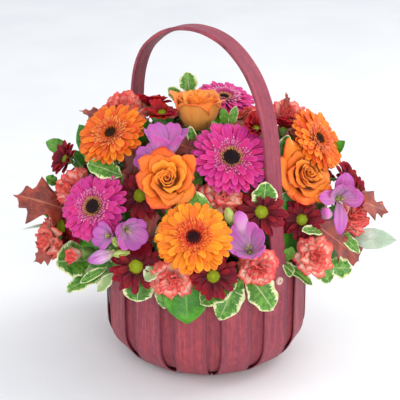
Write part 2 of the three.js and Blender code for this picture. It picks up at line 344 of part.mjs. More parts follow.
// stems: radius and straight runs; the first run stands in the foam
const STEMS = {
  rose_top: { r: 2.6, segs: [[[-10.7, 3.8, 231.4], [-12.4, 5.2, 97.9]]] },
  rose_centre: { r: 2.6, segs: [[[-34.2, -60.5, 198.7], [-14.8, -31.9, 109.2]]] },
  rose_right: { r: 2.6, segs: [[[88.9, -15.3, 189.3], [10.1, -14.1, 98.4]]] },
  rose_back: { r: 2.6, segs: [[[0.0, 57.9, 191.1], [9.2, 5.7, 101.8]]] },
  gerbera_orange_left: { r: 2.4, segs: [[[-88.9, -16.4, 234.4], [-19.3, -3.7, 106.3]]] },
  gerbera_pink_left: { r: 2.4, segs: [[[-103.7, -57.4, 176.2], [-48.1, -13.7, 103.5]]] },
  gerbera_pink_centre: { r: 2.4, segs: [[[22.6, -48.3, 224.2], [-6.8, -13.8, 117.2]]] },
  gerbera_yellow_front: { r: 2.4, segs: [[[-13.0, -111.6, 170.9], [-0.2, -17.2, 105.7]]] },
  gerbera_pink_top: { r: 2.4, segs: [[[20.1, 51.6, 243.5], [-5.6, 4.6, 101.4]]] },
  gerbera_orange_right: { r: 2.4, segs: [[[105.1, -2.2, 223.6], [37.8, -6.1, 111.2]]] },
  gerbera_orange_back: { r: 2.4, segs: [[[-56.4, 98.8, 158.8], [-22.1, 37.1, 114.2]]] },
  gerbera_pink_back: { r: 2.4, segs: [[[62.9, 85.9, 178.5], [15.5, 19.0, 118.8]]] },
  chrysanthemum_front: { r: 1.6, segs: [[[-18.8, -80.1, 126.9], [-17.9, -27.7, 99.1]], [[-65.4, -98.3, 134.3], [-18.8, -80.1, 126.9]], [[5.2, -109.1, 131.3], [-18.8, -80.1, 126.9]]] },
  chrysanthemum_left: { r: 1.6, segs: [[[-92.5, -12.8, 161.1], [-44.4, 2.0, 104.2]], [[-62.1, -56.9, 188.8], [-92.5, -12.8, 161.1]], [[-135.5, 6.8, 201.1], [-92.5, -12.8, 161.1]], [[-141.9, -12.3, 139.1], [-92.5, -12.8, 161.1]]] },
  chrysanthemum_right: { r: 1.6, segs: [[[34.5, -58.0, 147.0], [23.2, -31.4, 108.0]], [[47.9, -82.6, 180.5], [34.5, -58.0, 147.0]], [[91.1, -52.5, 162.6], [34.5, -58.0, 147.0]]] },
  chrysanthemum_side: { r: 1.6, segs: [[[50.5, 46.3, 169.6], [18.6, 17.9, 97.4]], [[133.1, 2.5, 182.9], [50.5, 46.3, 169.6]], [[143.7, -3.5, 170.0], [50.5, 46.3, 169.6]], [[112.4, 38.9, 180.0], [50.5, 46.3, 169.6]], [[-81.5, 94.5, 118.5], [50.5, 46.3, 169.6]], [[-65.8, 72.3, 194.3], [50.5, 46.3, 169.6]]] },
  chrysanthemum_top: { r: 1.6, segs: [[[-11.1, -13.8, 161.2], [-3.2, -6.0, 97.6]], [[-54.0, 25.9, 255.4], [-11.1, -13.8, 161.2]], [[-43.7, 0.3, 248.5], [-11.1, -13.8, 161.2]], [[39.1, -21.6, 246.0], [-11.1, -13.8, 161.2]], [[74.2, 7.9, 232.2], [-11.1, -13.8, 161.2]]] },
  chrysanthemum_back: { r: 1.6, segs: [[[18.7, 74.0, 147.2], [16.6, 24.0, 105.4]], [[52.4, 111.2, 120.5], [18.7, 74.0, 147.2]], [[-36.5, 61.3, 220.9], [18.7, 74.0, 147.2]], [[-102.8, 55.1, 180.0], [18.7, 74.0, 147.2]], [[133.1, 26.6, 126.2], [18.7, 74.0, 147.2]], [[-35.8, 113.4, 117.1], [18.7, 74.0, 147.2]], [[53.7, 56.5, 214.3], [18.7, 74.0, 147.2]]] },
  carnation_left: { r: 1.5, segs: [[[-96.2, -26.8, 129.7], [-50.0, -2.1, 102.0]], [[-117.9, -11.7, 174.4], [-96.2, -26.8, 129.7]], [[-137.3, -11.7, 129.2], [-96.2, -26.8, 129.7]], [[-107.0, -56.0, 132.3], [-96.2, -26.8, 129.7]]] },
  carnation_top: { r: 1.5, segs: [[[-0.7, 24.8, 199.1], [-7.5, 20.8, 112.5]], [[-77.5, 28.3, 230.8], [-0.7, 24.8, 199.1]], [[35.4, 18.4, 230.7], [-0.7, 24.8, 199.1]], [[77.4, 43.7, 218.8], [-0.7, 24.8, 199.1]]] },
  carnation_front: { r: 1.5, segs: [[[10.9, -74.1, 146.7], [-8.8, -39.7, 99.0]], [[14.0, -53.8, 188.2], [10.9, -74.1, 146.7]], [[-33.5, -90.3, 126.4], [10.9, -74.1, 146.7]], [[45.2, -79.1, 128.5], [10.9, -74.1, 146.7]]] },
  carnation_right: { r: 1.5, segs: [[[80.7, -30.5, 145.8], [49.1, -9.7, 96.9]], [[97.1, -55.4, 129.0], [80.7, -30.5, 145.8]], [[129.6, -2.3, 140.5], [80.7, -30.5, 145.8]]] },
  carnation_back: { r: 1.5, segs: [[[-38.8, 46.3, 160.4], [-15.8, 16.4, 113.7]], [[4.2, 100.7, 133.2], [-38.8, 46.3, 160.4]], [[-95.0, 62.0, 133.2], [-38.8, 46.3, 160.4]], [[96.0, 60.5, 135.1], [-38.8, 46.3, 160.4]], [[-112.5, 28.1, 134.2], [-38.8, 46.3, 160.4]], [[-87.8, 15.0, 186.7], [-38.8, 46.3, 160.4]], [[-110.5, 7.4, 155.2], [-38.8, 46.3, 160.4]], [[78.4, 25.8, 191.8], [-38.8, 46.3, 160.4]]] },
  freesia_upper: { r: 1.5, segs: [[[-33.1, -33.9, 171.7], [-18.5, 1.8, 111.7]], [[-41.0, -50.5, 209.9], [-33.1, -33.9, 171.7]], [[-45.1, -46.7, 219.3], [-33.1, -33.9, 171.7]]] },
  freesia_left: { r: 1.5, segs: [[[-60.9, -57.5, 154.5], [-13.2, -6.4, 119.0]], [[-79.5, -69.3, 161.1], [-60.9, -57.5, 154.5]], [[-83.1, -71.7, 164.4], [-60.9, -57.5, 154.5]], [[-82.4, -92.9, 147.2], [-60.9, -57.5, 154.5]]] },
  freesia_front: { r: 1.5, segs: [[[34.0, -67.8, 145.2], [13.3, -24.1, 120.4]], [[34.2, -96.0, 142.0], [34.0, -67.8, 145.2]], [[30.0, -96.6, 170.6], [34.0, -67.8, 145.2]]] },
  freesia_right: { r: 1.5, segs: [[[101.7, -13.3, 146.8], [48.3, -0.7, 106.8]], [[122.2, -16.1, 171.2], [101.7, -13.3, 146.8]], [[116.1, -42.9, 164.7], [101.7, -13.3, 146.8]]] },
  freesia_back: { r: 1.5, segs: [[[0.7, 55.4, 154.4], [-3.7, 41.0, 98.2]], [[-1.9, 90.0, 167.6], [0.7, 55.4, 154.4]], [[21.0, 66.0, 203.6], [0.7, 55.4, 154.4]], [[-68.6, 36.6, 198.7], [0.7, 55.4, 154.4]], [[77.7, 79.5, 116.3], [0.7, 55.4, 154.4]]] },
  oak_left: { r: 1.5, segs: [[[-119.9, -18.9, 173.3], [-11.7, -13.6, 114.3]], [[-144.2, -13.0, 157.6], [-119.9, -18.9, 173.3]], [[-140.3, -22.0, 128.0], [-119.9, -18.9, 173.3]], [[-89.9, 12.0, 240.1], [-119.9, -18.9, 173.3]]] },
  oak_mid: { r: 1.5, segs: [[[-51.6, -12.5, 153.5], [-24.6, 5.8, 106.5]], [[-70.6, -40.0, 192.7], [-51.6, -12.5, 153.5]], [[-52.6, -66.0, 182.5], [-51.6, -12.5, 153.5]], [[-114.1, 32.0, 139.4], [-51.6, -12.5, 153.5]]] },
  oak_right: { r: 1.5, segs: [[[118.5, -19.5, 138.8], [49.9, -2.8, 99.7]], [[153.9, -7.5, 162.1], [118.5, -19.5, 138.8]], [[127.4, -44.0, 132.9], [118.5, -19.5, 138.8]]] },
  oak_back: { r: 1.5, segs: [[[-8.0, 85.5, 156.9], [1.8, 46.0, 101.8]], [[83.0, 76.8, 129.7], [-8.0, 85.5, 156.9]], [[-16.9, 104.0, 129.7], [-8.0, 85.5, 156.9]], [[-60.4, 57.9, 196.1], [-8.0, 85.5, 156.9]]] },
  pittosporum_left: { r: 1.4, segs: [[[-79.6, -50.0, 161.9], [-31.4, -17.6, 102.7]], [[-111.6, -62.0, 122.4], [-79.6, -50.0, 161.9]], [[-97.0, -78.0, 119.2], [-79.6, -50.0, 161.9]], [[-135.9, 6.0, 209.8], [-79.6, -50.0, 161.9]], [[-81.3, -50.0, 206.8], [-79.6, -50.0, 161.9]]] },
  pittosporum_front: { r: 1.4, segs: [[[1.7, -97.6, 142.5], [10.6, -32.1, 101.4]], [[-63.7, -96.0, 126.0], [1.7, -97.6, 142.5]], [[-37.3, -100.0, 126.0], [1.7, -97.6, 142.5]], [[-46.4, -100.0, 137.8], [1.7, -97.6, 142.5]], [[28.6, -100.0, 126.0], [1.7, -97.6, 142.5]], [[30.6, -98.0, 126.0], [1.7, -97.6, 142.5]], [[36.3, -98.0, 126.0], [1.7, -97.6, 142.5]], [[6.0, -84.0, 183.9], [1.7, -97.6, 142.5]]] },
  pittosporum_right: { r: 1.4, segs: [[[64.3, -25.4, 126.8], [45.5, -17.0, 97.7]], [[105.1, -62.0, 122.4], [64.3, -25.4, 126.8]], [[134.0, -31.2, 135.4], [64.3, -25.4, 126.8]], [[119.7, -52.0, 117.8], [64.3, -25.4, 126.8]], [[51.1, -78.0, 181.4], [64.3, -25.4, 126.8]], [[75.8, -66.0, 126.0], [64.3, -25.4, 126.8]]] },
  pittosporum_top: { r: 1.4, segs: [[[1.7, 16.6, 215.7], [14.3, 2.4, 110.1]], [[-17.0, 32.0, 262.7], [1.7, 16.6, 215.7]], [[-25.0, 28.0, 257.7], [1.7, 16.6, 215.7]], [[71.9, -30.0, 215.7], [1.7, 16.6, 215.7]]] },
  pittosporum_back: { r: 1.4, segs: [[[-24.8, 59.2, 128.7], [-13.6, 44.0, 118.4]], [[61.0, 91.2, 127.8], [-24.8, 59.2, 128.7]], [[17.4, 106.7, 128.0], [-24.8, 59.2, 128.7]], [[-38.6, 102.5, 128.0], [-24.8, 59.2, 128.7]], [[-89.6, 74.7, 130.0], [-24.8, 59.2, 128.7]], [[-18.0, 88.3, 185.3], [-24.8, 59.2, 128.7]]] },
  salal_front: { r: 1.4, segs: [[[66.3, -57.7, 128.0], [20.7, -22.7, 114.8]], [[-22.2, -96.0, 126.0], [66.3, -57.7, 128.0]], [[161.4, -9.2, 131.5], [66.3, -57.7, 128.0]]] },
  salal_left: { r: 1.4, segs: [[[-10.3, 33.1, 153.3], [-3.6, 31.7, 99.0]], [[-100.2, -22.0, 210.7], [-10.3, 33.1, 153.3]], [[118.0, 8.0, 205.9], [-10.3, 33.1, 153.3]], [[37.6, 99.9, 129.7], [-10.3, 33.1, 153.3]], [[-64.5, 89.1, 129.7], [-10.3, 33.1, 153.3]]] },
};

// ---- flowers ---------------------------------------------------------------
const V = (a) => new THREE.Vector3(a[0], a[1], a[2]);
const FLOWER_COLOUR = {
  orange: '#f07a1c', pink: '#dd3690', yellow: '#f79a1e', rose: '#f58a24', carn: '#e2554f',
  mum: '#6d1022', freesia: '#bd70cc', bud: '#9a9c4c',
};
const LEAF_COLOUR = { pitto: '#5d8f3c', oak: '#7c3328', salal: '#3f8a22' };

// profiles as [radius, height] with the flower's face towards +height
const PROFILES = {
  gerbera: (R, e) => [[0, 3.4 + e], [R + e, 1.2 + e], [R + e, -1 - e], [5.5 + e, -9 - e], [0, -11 - e]],
  rose: (R, e) => [[0, 4 + e], [R + e, 0], [R * 0.86 + e, -20], [6 + e, -39 - e], [0, -42 - e]],
  carn: (R, e) => [[0, 5 + e], [R + e, -2], [R * 0.7 + e, -10 - e], [3.8 + e, -15 - e], [0, -28 - e]],
  mum: (R, e) => [[0, 3.4 + e], [R + e, 0.6 + e], [R + e, -1.2 - e], [0, -8 - e]],
  freesia: (R, e) => [[0, -2 + e * 1.3], [R * 0.66 + e, 2 + e * 1.3], [R * 0.3 + e, -R * 0.8], [0, -R * 1.3 - e]],
  bud: (R, e) => [[0, 3 + e], [R * 0.44 + e, -R * 0.5], [0, -R * 1.4 - e]],
};
const SEGMENTS = { gerbera: 12, rose: 9, carn: 7, mum: 8, freesia: 5, bud: 4 };

function headSolid(h, e = 0) {
  const kind = h.bud ? 'bud' : h.kind;
  return solid(along(lathe(PROFILES[kind](h.R, e), SEGMENTS[kind]), V(h.p), V(h.n)));
}

// leaf blade: outline across the blade as [along 0..1, half width 0..1]
const OUTLINE = {
  pitto: [[0.38, 0.98], [0.8, 0.8]],
  salal: [[0.3, 0.92], [0.62, 0.9]],
  oak: [[0.28, 0.8], [0.42, 0.42], [0.62, 0.95], [0.74, 0.35]],
};
function leafSolid(l, e = 0) {
  const b = V(l.b), a = V(l.t).sub(b), len = a.length();
  a.normalize();
  const side = new THREE.Vector3().crossVectors(V(l.f), a).normalize();
  const nrm = new THREE.Vector3().crossVectors(a, side).normalize();
  const t = 0.6 + e, half = l.w / 2, s = new THREE.Shape();
  const pts = OUTLINE[l.kind];
  const ring = [[0, -e], ...pts.map(([u, v]) => [v * half + e, u * len]), [0, len + e], ...[...pts].reverse().map(([u, v]) => [-v * half - e, u * len])];
  ring.forEach(([x, y], i) => (i ? s.lineTo(x, y) : s.moveTo(x, y)));
  s.closePath();
  const g = new THREE.ExtrudeGeometry(s, { depth: 2 * t, bevelEnabled: false }).translate(0, 0, -t);
  g.applyMatrix4(new THREE.Matrix4().makeBasis(side, a, nrm)).translate(b.x, b.y, b.z);
  return solid(g);
}
function stemSolid(s, e = 0) {
  // each run overshoots its ends a little so that the joined rods make one body
  return union(s.segs.map(([a, b]) => {
    const A = V(a), B = V(b), d = new THREE.Vector3().subVectors(B, A).normalize();
    return solid(rod(A.clone().addScaledVector(d, -s.r * 0.8 - e), B.clone().addScaledVector(d, s.r * 0.8 + e), s.r + e, s.r < 2 ? 4 : 5));
  }));
}

const names = [...new Set([...HEADS, ...LEAVES].map((h) => h.node))];
const stems = {}, stemsGrown = {}, box = (m) => m.boundingBox();
for (const n of names) { stems[n] = stemSolid(STEMS[n]); stemsGrown[n] = stemSolid(STEMS[n], GAP); }
const touches = (a, b) => {
  const p = box(a), q = box(b);
  return p.min.every((v, i) => v <= q.max[i] + 0.5) && q.min.every((v, i) => v <= p.max[i] + 0.5);
};
// basket pieces that a flower or a leaf has to clear
const handleGrown = handleSolid(0.4);
const rimKeepOut = solid(lathe([[90, 60], [BELLY_R + 2.2, 60], [BELLY_R + 2.2, RIM_Z + 0.6], [90, RIM_Z + 0.6], [90, 60]], 40).rotateX(Math.PI / 2));
const foamKeepOut = solid(new THREE.CylinderGeometry(FOAM_R + 0.5, FOAM_R + 0.5, FOAM_TOP - FOAM_BOTTOM + 1, 16)
  .rotateX(Math.PI / 2).translate(0, 0, (FOAM_TOP + FOAM_BOTTOM) / 2));
const pegsGrown = pegHoles;

const placed = [];               // grown heads and blades already placed
for (const n of names) {
  const mine = [], grown = [];
  for (const h of HEADS.filter((x) => x.node === n)) { mine.push(headSolid(h)); grown.push(headSolid(h, GAP)); }
  for (const l of LEAVES.filter((x) => x.node === n)) { mine.push(leafSolid(l)); grown.push(leafSolid(l, GAP)); }
  let body = union(mine);
  for (const m of Object.keys(stemsGrown)) if (m !== n && touches(body, stemsGrown[m])) body = body.subtract(stemsGrown[m]);
  for (const p of placed) if (touches(body, p)) body = body.subtract(p);
  if (touches(body, handleGrown)) body = body.subtract(handleGrown);
  for (const p of [rimKeepOut, foamKeepOut, pegsGrown]) if (touches(body, p)) body = body.subtract(p);
  let own = stems[n];
  for (const m of names.slice(0, names.indexOf(n))) if (touches(own, stemsGrown[m])) own = own.subtract(stemsGrown[m]);
  if (touches(own, handleGrown)) own = own.subtract(handleGrown);
  if (touches(own, rimKeepOut)) own = own.subtract(rimKeepOut);
  body = largest(body.add(own));
  placed.push(...grown);
  const kind = (HEADS.find((x) => x.node === n) || LEAVES.find((x) => x.node === n));
  const colour = FLOWER_COLOUR[kind.col || kind.kind] || LEAF_COLOUR[kind.kind];
  addPiece(n, body, colour, 0.7);
}

// the foam block, drilled where the stems stand in it
let foam = solid(new THREE.CylinderGeometry(FOAM_R, FOAM_R, FOAM_TOP - FOAM_BOTTOM, 16).rotateX(Math.PI / 2)
  .translate(0, 0, (FOAM_TOP + FOAM_BOTTOM) / 2));
for (const n of names) foam = foam.subtract(stemsGrown[n]);
addPiece('floral_foam', largest(foam), '#3f5b34', 0.95);

export default object;
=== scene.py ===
import bpy, math, random
import numpy as np
from mathutils import Matrix, Vector


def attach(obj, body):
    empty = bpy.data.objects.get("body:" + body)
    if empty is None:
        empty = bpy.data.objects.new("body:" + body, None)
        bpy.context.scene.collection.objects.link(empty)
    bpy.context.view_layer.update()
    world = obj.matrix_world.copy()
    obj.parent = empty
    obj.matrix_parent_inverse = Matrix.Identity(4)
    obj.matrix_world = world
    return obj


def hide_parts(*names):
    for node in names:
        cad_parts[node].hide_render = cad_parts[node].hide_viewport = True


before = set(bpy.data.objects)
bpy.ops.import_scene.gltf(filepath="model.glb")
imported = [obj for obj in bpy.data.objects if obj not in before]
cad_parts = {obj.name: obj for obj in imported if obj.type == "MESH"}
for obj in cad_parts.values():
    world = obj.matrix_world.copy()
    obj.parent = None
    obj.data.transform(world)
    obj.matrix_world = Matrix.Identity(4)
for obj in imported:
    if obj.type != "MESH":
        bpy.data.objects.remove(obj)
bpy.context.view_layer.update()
MM = 0.001
TAU = 2 * math.pi

# ------------------------------------------------------------------ numbers
BELLY_R, FOOT_R, BELLY_Z, RIM_Z = 99.4, 50.0, 42.4, 118.0
BASE_T, GAP, STRIP_T, STRIPS = 3.0, 0.3, 1.0, 7
PITCH = 180.0 / STRIPS
FIRST_AZ = 42.0
OUTER_W, INNER_W, INNER_IN = 31.0, 26.0, 2.3
ORDER = [-2, -1, 0, -3, 1, -4, 2]
HANDLE_W, HANDLE_T, HANDLE_TWIST = 17.5, 4.0, 8.0
PEG_Z = 109.0
HANDLE_PATH = [(101.9, 97), (101.9, 108), (101.8, 119), (100.6, 132), (97.8, 150), (94.6, 180), (91.6, 215),
  (88.2, 244), (82, 270), (68, 298), (51, 316), (29, 329), (9, 334.2), (-8, 335.4), (-25, 334), (-43, 329.8),
  (-63, 321.5), (-78, 311.5), (-89, 301.5), (-96.5, 290), (-102, 277), (-105.6, 262), (-107.4, 245), (-108, 222),
  (-107.4, 190), (-105.4, 150), (-103.4, 132), (-102, 119), (-101.9, 108), (-101.9, 97)]
HEADS = [
  ('gerbera_orange_left', 'gerbera', (-92.7, -23.9, 241.1), (-0.341, -0.53, 0.777), 35.7, 'orange', 0),
  ('gerbera_pink_left', 'gerbera', (-108.3, -66.8, 182.3), (-0.402, -0.729, 0.554), 34.88, 'pink', 0),
  ('gerbera_pink_centre', 'gerbera', (22.5, -55.4, 227.5), (0.12, -0.626, 0.77), 39.9, 'pink', 0),
  ('gerbera_yellow_front', 'gerbera', (-13.0, -120.9, 174.5), (0.03, -0.714, 0.7), 36.57, 'yellow', 0),
  ('gerbera_pink_top', 'gerbera', (17.2, 50.4, 253.2), (0.12, -0.177, 0.977), 34.56, 'pink', 0),
  ('gerbera_orange_right', 'gerbera', (109.0, -6.0, 229.2), (0.661, -0.418, 0.623), 34.24, 'orange', 0),
  ('gerbera_orange_back', 'gerbera', (-60.1, 106.4, 161.8), (-0.412, 0.845, 0.342), 34, 'orange', 0),
  ('gerbera_pink_back', 'gerbera', (67.0, 92.5, 183.0), (0.459, 0.734, 0.5), 35, 'pink', 0),
  ('rose_top', 'rose', (-9.0, 5.1, 270.2), (0.02, 0.005, 1.0), 26.5, None, 0),
  ('rose_centre', 'rose', (-37.6, -89.3, 221.1), (-0.06, -0.82, 0.569), 29.1, None, 0),
  ('rose_right', 'rose', (99.9, -43.6, 209.5), (0.28, -0.796, 0.537), 29.4, None, 0),
  ('rose_back', 'rose', (-5.0, 81.0, 218.6), (0.0, 0.643, 0.766), 28, None, 0),
  ('carnation_left', 'carn', (-132.8, -26.0, 186.7), (-0.622, -0.594, 0.51), 20, None, 0),
  ('carnation_left', 'carn', (-157.9, -24.7, 129.1), (-0.856, -0.512, 0.077), 19, None, 0),
  ('carnation_left', 'carn', (-120.4, -68.8, 134.3), (-0.852, -0.521, 0.048), 14.0, None, 1),
  ('carnation_top', 'carn', (-83.3, 21.3, 251.5), (-0.12, -0.439, 0.89), 23.32, None, 0),
  ('carnation_top', 'carn', (39.1, 12.0, 253.5), (0.1, -0.49, 0.866), 19, None, 0),
  ('carnation_top', 'carn', (80.3, 37.6, 241.0), (0.1, -0.44, 0.892), 20, None, 0),
  ('carnation_front', 'carn', (14.0, -77.1, 197.0), (0.0, -0.885, 0.466), 21.12, None, 0),
  ('carnation_front', 'carn', (-33.4, -115.9, 130.2), (-0.08, -0.988, 0.128), 19.6, None, 0),
  ('carnation_front', 'carn', (47.6, -102.0, 135.1), (0.101, -0.956, 0.277), 18.5, None, 0),
  ('carnation_right', 'carn', (101.9, -78.0, 136.0), (0.161, -0.942, 0.294), 18.62, None, 0),
  ('carnation_right', 'carn', (146.6, -16.9, 149.6), (0.707, -0.656, 0.265), 19.8, None, 0),
  ('carnation_back', 'carn', (5.0, 124.4, 137.0), (0.034, 0.987, 0.156), 20, None, 0),
  ('carnation_back', 'carn', (-113.6, 76.6, 137.0), (-0.778, 0.608, 0.156), 20, None, 0),
  ('carnation_back', 'carn', (114.8, 74.7, 139.3), (0.787, 0.593, 0.174), 20, None, 0),
  ('chrysanthemum_front', 'mum', (-66.9, -103.6, 136.9), (-0.05, -0.926, 0.374), 26.78, None, 0),
  ('chrysanthemum_front', 'mum', (5.3, -115.0, 132.5), (0.02, -0.979, 0.201), 24.5, None, 0),
  ('chrysanthemum_left', 'mum', (-63.7, -62.0, 191.6), (-0.25, -0.846, 0.471), 26, None, 0),
  ('chrysanthemum_left', 'mum', (-139.9, 4.0, 204.2), (-0.723, -0.464, 0.512), 20, None, 0),
  ('chrysanthemum_left', 'mum', (-144.4, -16.9, 141.0), (-0.751, -0.613, 0.247), 27.5, None, 0),
  ('chrysanthemum_right', 'mum', (50.1, -87.3, 185.1), (0.04, -0.893, 0.448), 24.96, None, 0),
  ('chrysanthemum_right', 'mum', (90.6, -58.0, 165.0), (-0.081, -0.916, 0.392), 22, None, 0),
  ('chrysanthemum_side', 'mum', (137.9, 0.0, 185.6), (0.798, -0.415, 0.437), 20, None, 0),
  ('chrysanthemum_side', 'mum', (148.8, -6.0, 171.9), (0.852, -0.408, 0.327), 20, None, 0),
  ('chrysanthemum_side', 'mum', (117.2, 40.9, 183.0), (0.803, 0.324, 0.5), 23, None, 0),
  ('chrysanthemum_top', 'mum', (-54.6, 25.1, 253.1), (0.101, 0.325, 0.94), 21, None, 0),
  ('chrysanthemum_top', 'mum', (-44.0, -2.0, 254.0), (-0.05, -0.39, 0.919), 19, None, 0),
  ('chrysanthemum_top', 'mum', (46.8, -26.2, 245.6), (0.279, -0.401, 0.872), 20, None, 0),
  ('chrysanthemum_top', 'mum', (75.4, 5.0, 237.3), (0.259, 0.313, 0.914), 19, None, 0),
  ('chrysanthemum_back', 'mum', (54.7, 116.8, 120.7), (0.374, 0.927, 0.035), 23, None, 0),
  ('chrysanthemum_back', 'mum', (-38.0, 64.4, 225.8), (-0.26, 0.511, 0.819), 23, None, 0),
  ('chrysanthemum_back', 'mum', (-107.2, 57.8, 183.0), (-0.734, 0.459, 0.5), 23, None, 0),
  ('freesia_upper', 'freesia', (-40.5, -52.0, 233.8), (0.02, -0.062, 0.998), 22, None, 0),
  ('freesia_upper', 'freesia', (-54.1, -57.5, 225.6), (-0.553, -0.568, 0.609), 15, None, 0),
  ('freesia_left', 'freesia', (-72.2, -94.1, 167.7), (0.421, -0.905, 0.063), 17.2, None, 0),
  ('freesia_left', 'freesia', (-95.3, -90.0, 162.5), (-0.552, -0.753, 0.358), 12.8, None, 0),
  ('freesia_left', 'freesia', (-102.2, -102.7, 145.3), (-0.915, -0.35, -0.202), 13, None, 1),
  ('freesia_front', 'freesia', (37.3, -111.6, 162.1), (-0.12, -0.677, 0.726), 19.76, None, 0),
  ('freesia_front', 'freesia', (29.9, -103.3, 182.9), (-0.1, -0.323, 0.941), 15.84, None, 1),
  ('freesia_right', 'freesia', (130.1, -45.8, 181.4), (0.099, -0.93, 0.354), 25, None, 0),
  ('freesia_right', 'freesia', (114.0, -52.0, 169.5), (-0.201, -0.866, 0.458), 12, None, 1),
  ('freesia_back', 'freesia', (-2.2, 111.2, 178.9), (-0.015, 0.883, 0.469), 22, None, 0),
  ('freesia_back', 'freesia', (37.3, 82.1, 220.3), (0.166, 0.621, 0.766), 18, None, 0),
  ('chrysanthemum_back', 'mum', (138.8, 27.9, 127.3), (0.957, 0.223, 0.184), 23, None, 0),
  ('carnation_back', 'carn', (-134.6, 34.7, 141.0), (-0.919, 0.275, 0.284), 20, None, 0),
  ('freesia_back', 'freesia', (-79.2, 43.4, 215.1), (-0.514, 0.326, 0.793), 19, None, 0),
  ('chrysanthemum_side', 'mum', (-85.0, 99.3, 119.3), (-0.59, 0.798, 0.124), 22, None, 0),
  ('carnation_back', 'carn', (-104.1, 18.3, 203.9), (-0.68, 0.139, 0.72), 20, None, 0),
  ('chrysanthemum_back', 'mum', (-37.4, 119.2, 117.8), (-0.26, 0.959, 0.113), 22, None, 0),
  ('chrysanthemum_back', 'mum', (55.8, 59.1, 219.3), (0.361, 0.443, 0.82), 23, None, 0),
  ('carnation_back', 'carn', (-131.7, 9.1, 166.3), (-0.883, 0.071, 0.463), 20, None, 0),
  ('freesia_back', 'freesia', (92.7, 101.1, 114.3), (0.63, 0.767, 0.121), 19, None, 0),
  ('chrysanthemum_side', 'mum', (-68.5, 75.8, 198.4), (-0.449, 0.576, 0.683), 22, None, 0),
  ('carnation_back', 'carn', (92.9, 31.5, 210.1), (0.605, 0.238, 0.76), 20, None, 0),
  ('freesia_left', 'freesia', (-86.4, -95.6, 159.4), (-0.451, -0.444, 0.774), 7.6, None, 2),
  ('freesia_left', 'freesia', (-82.7, -99.6, 147.9), (-0.968, -0.241, -0.064), 7.6, None, 2),
  ('freesia_front', 'freesia', (19.6, -99.5, 188.3), (-0.204, -0.281, 0.938), 9.6, None, 2),
]
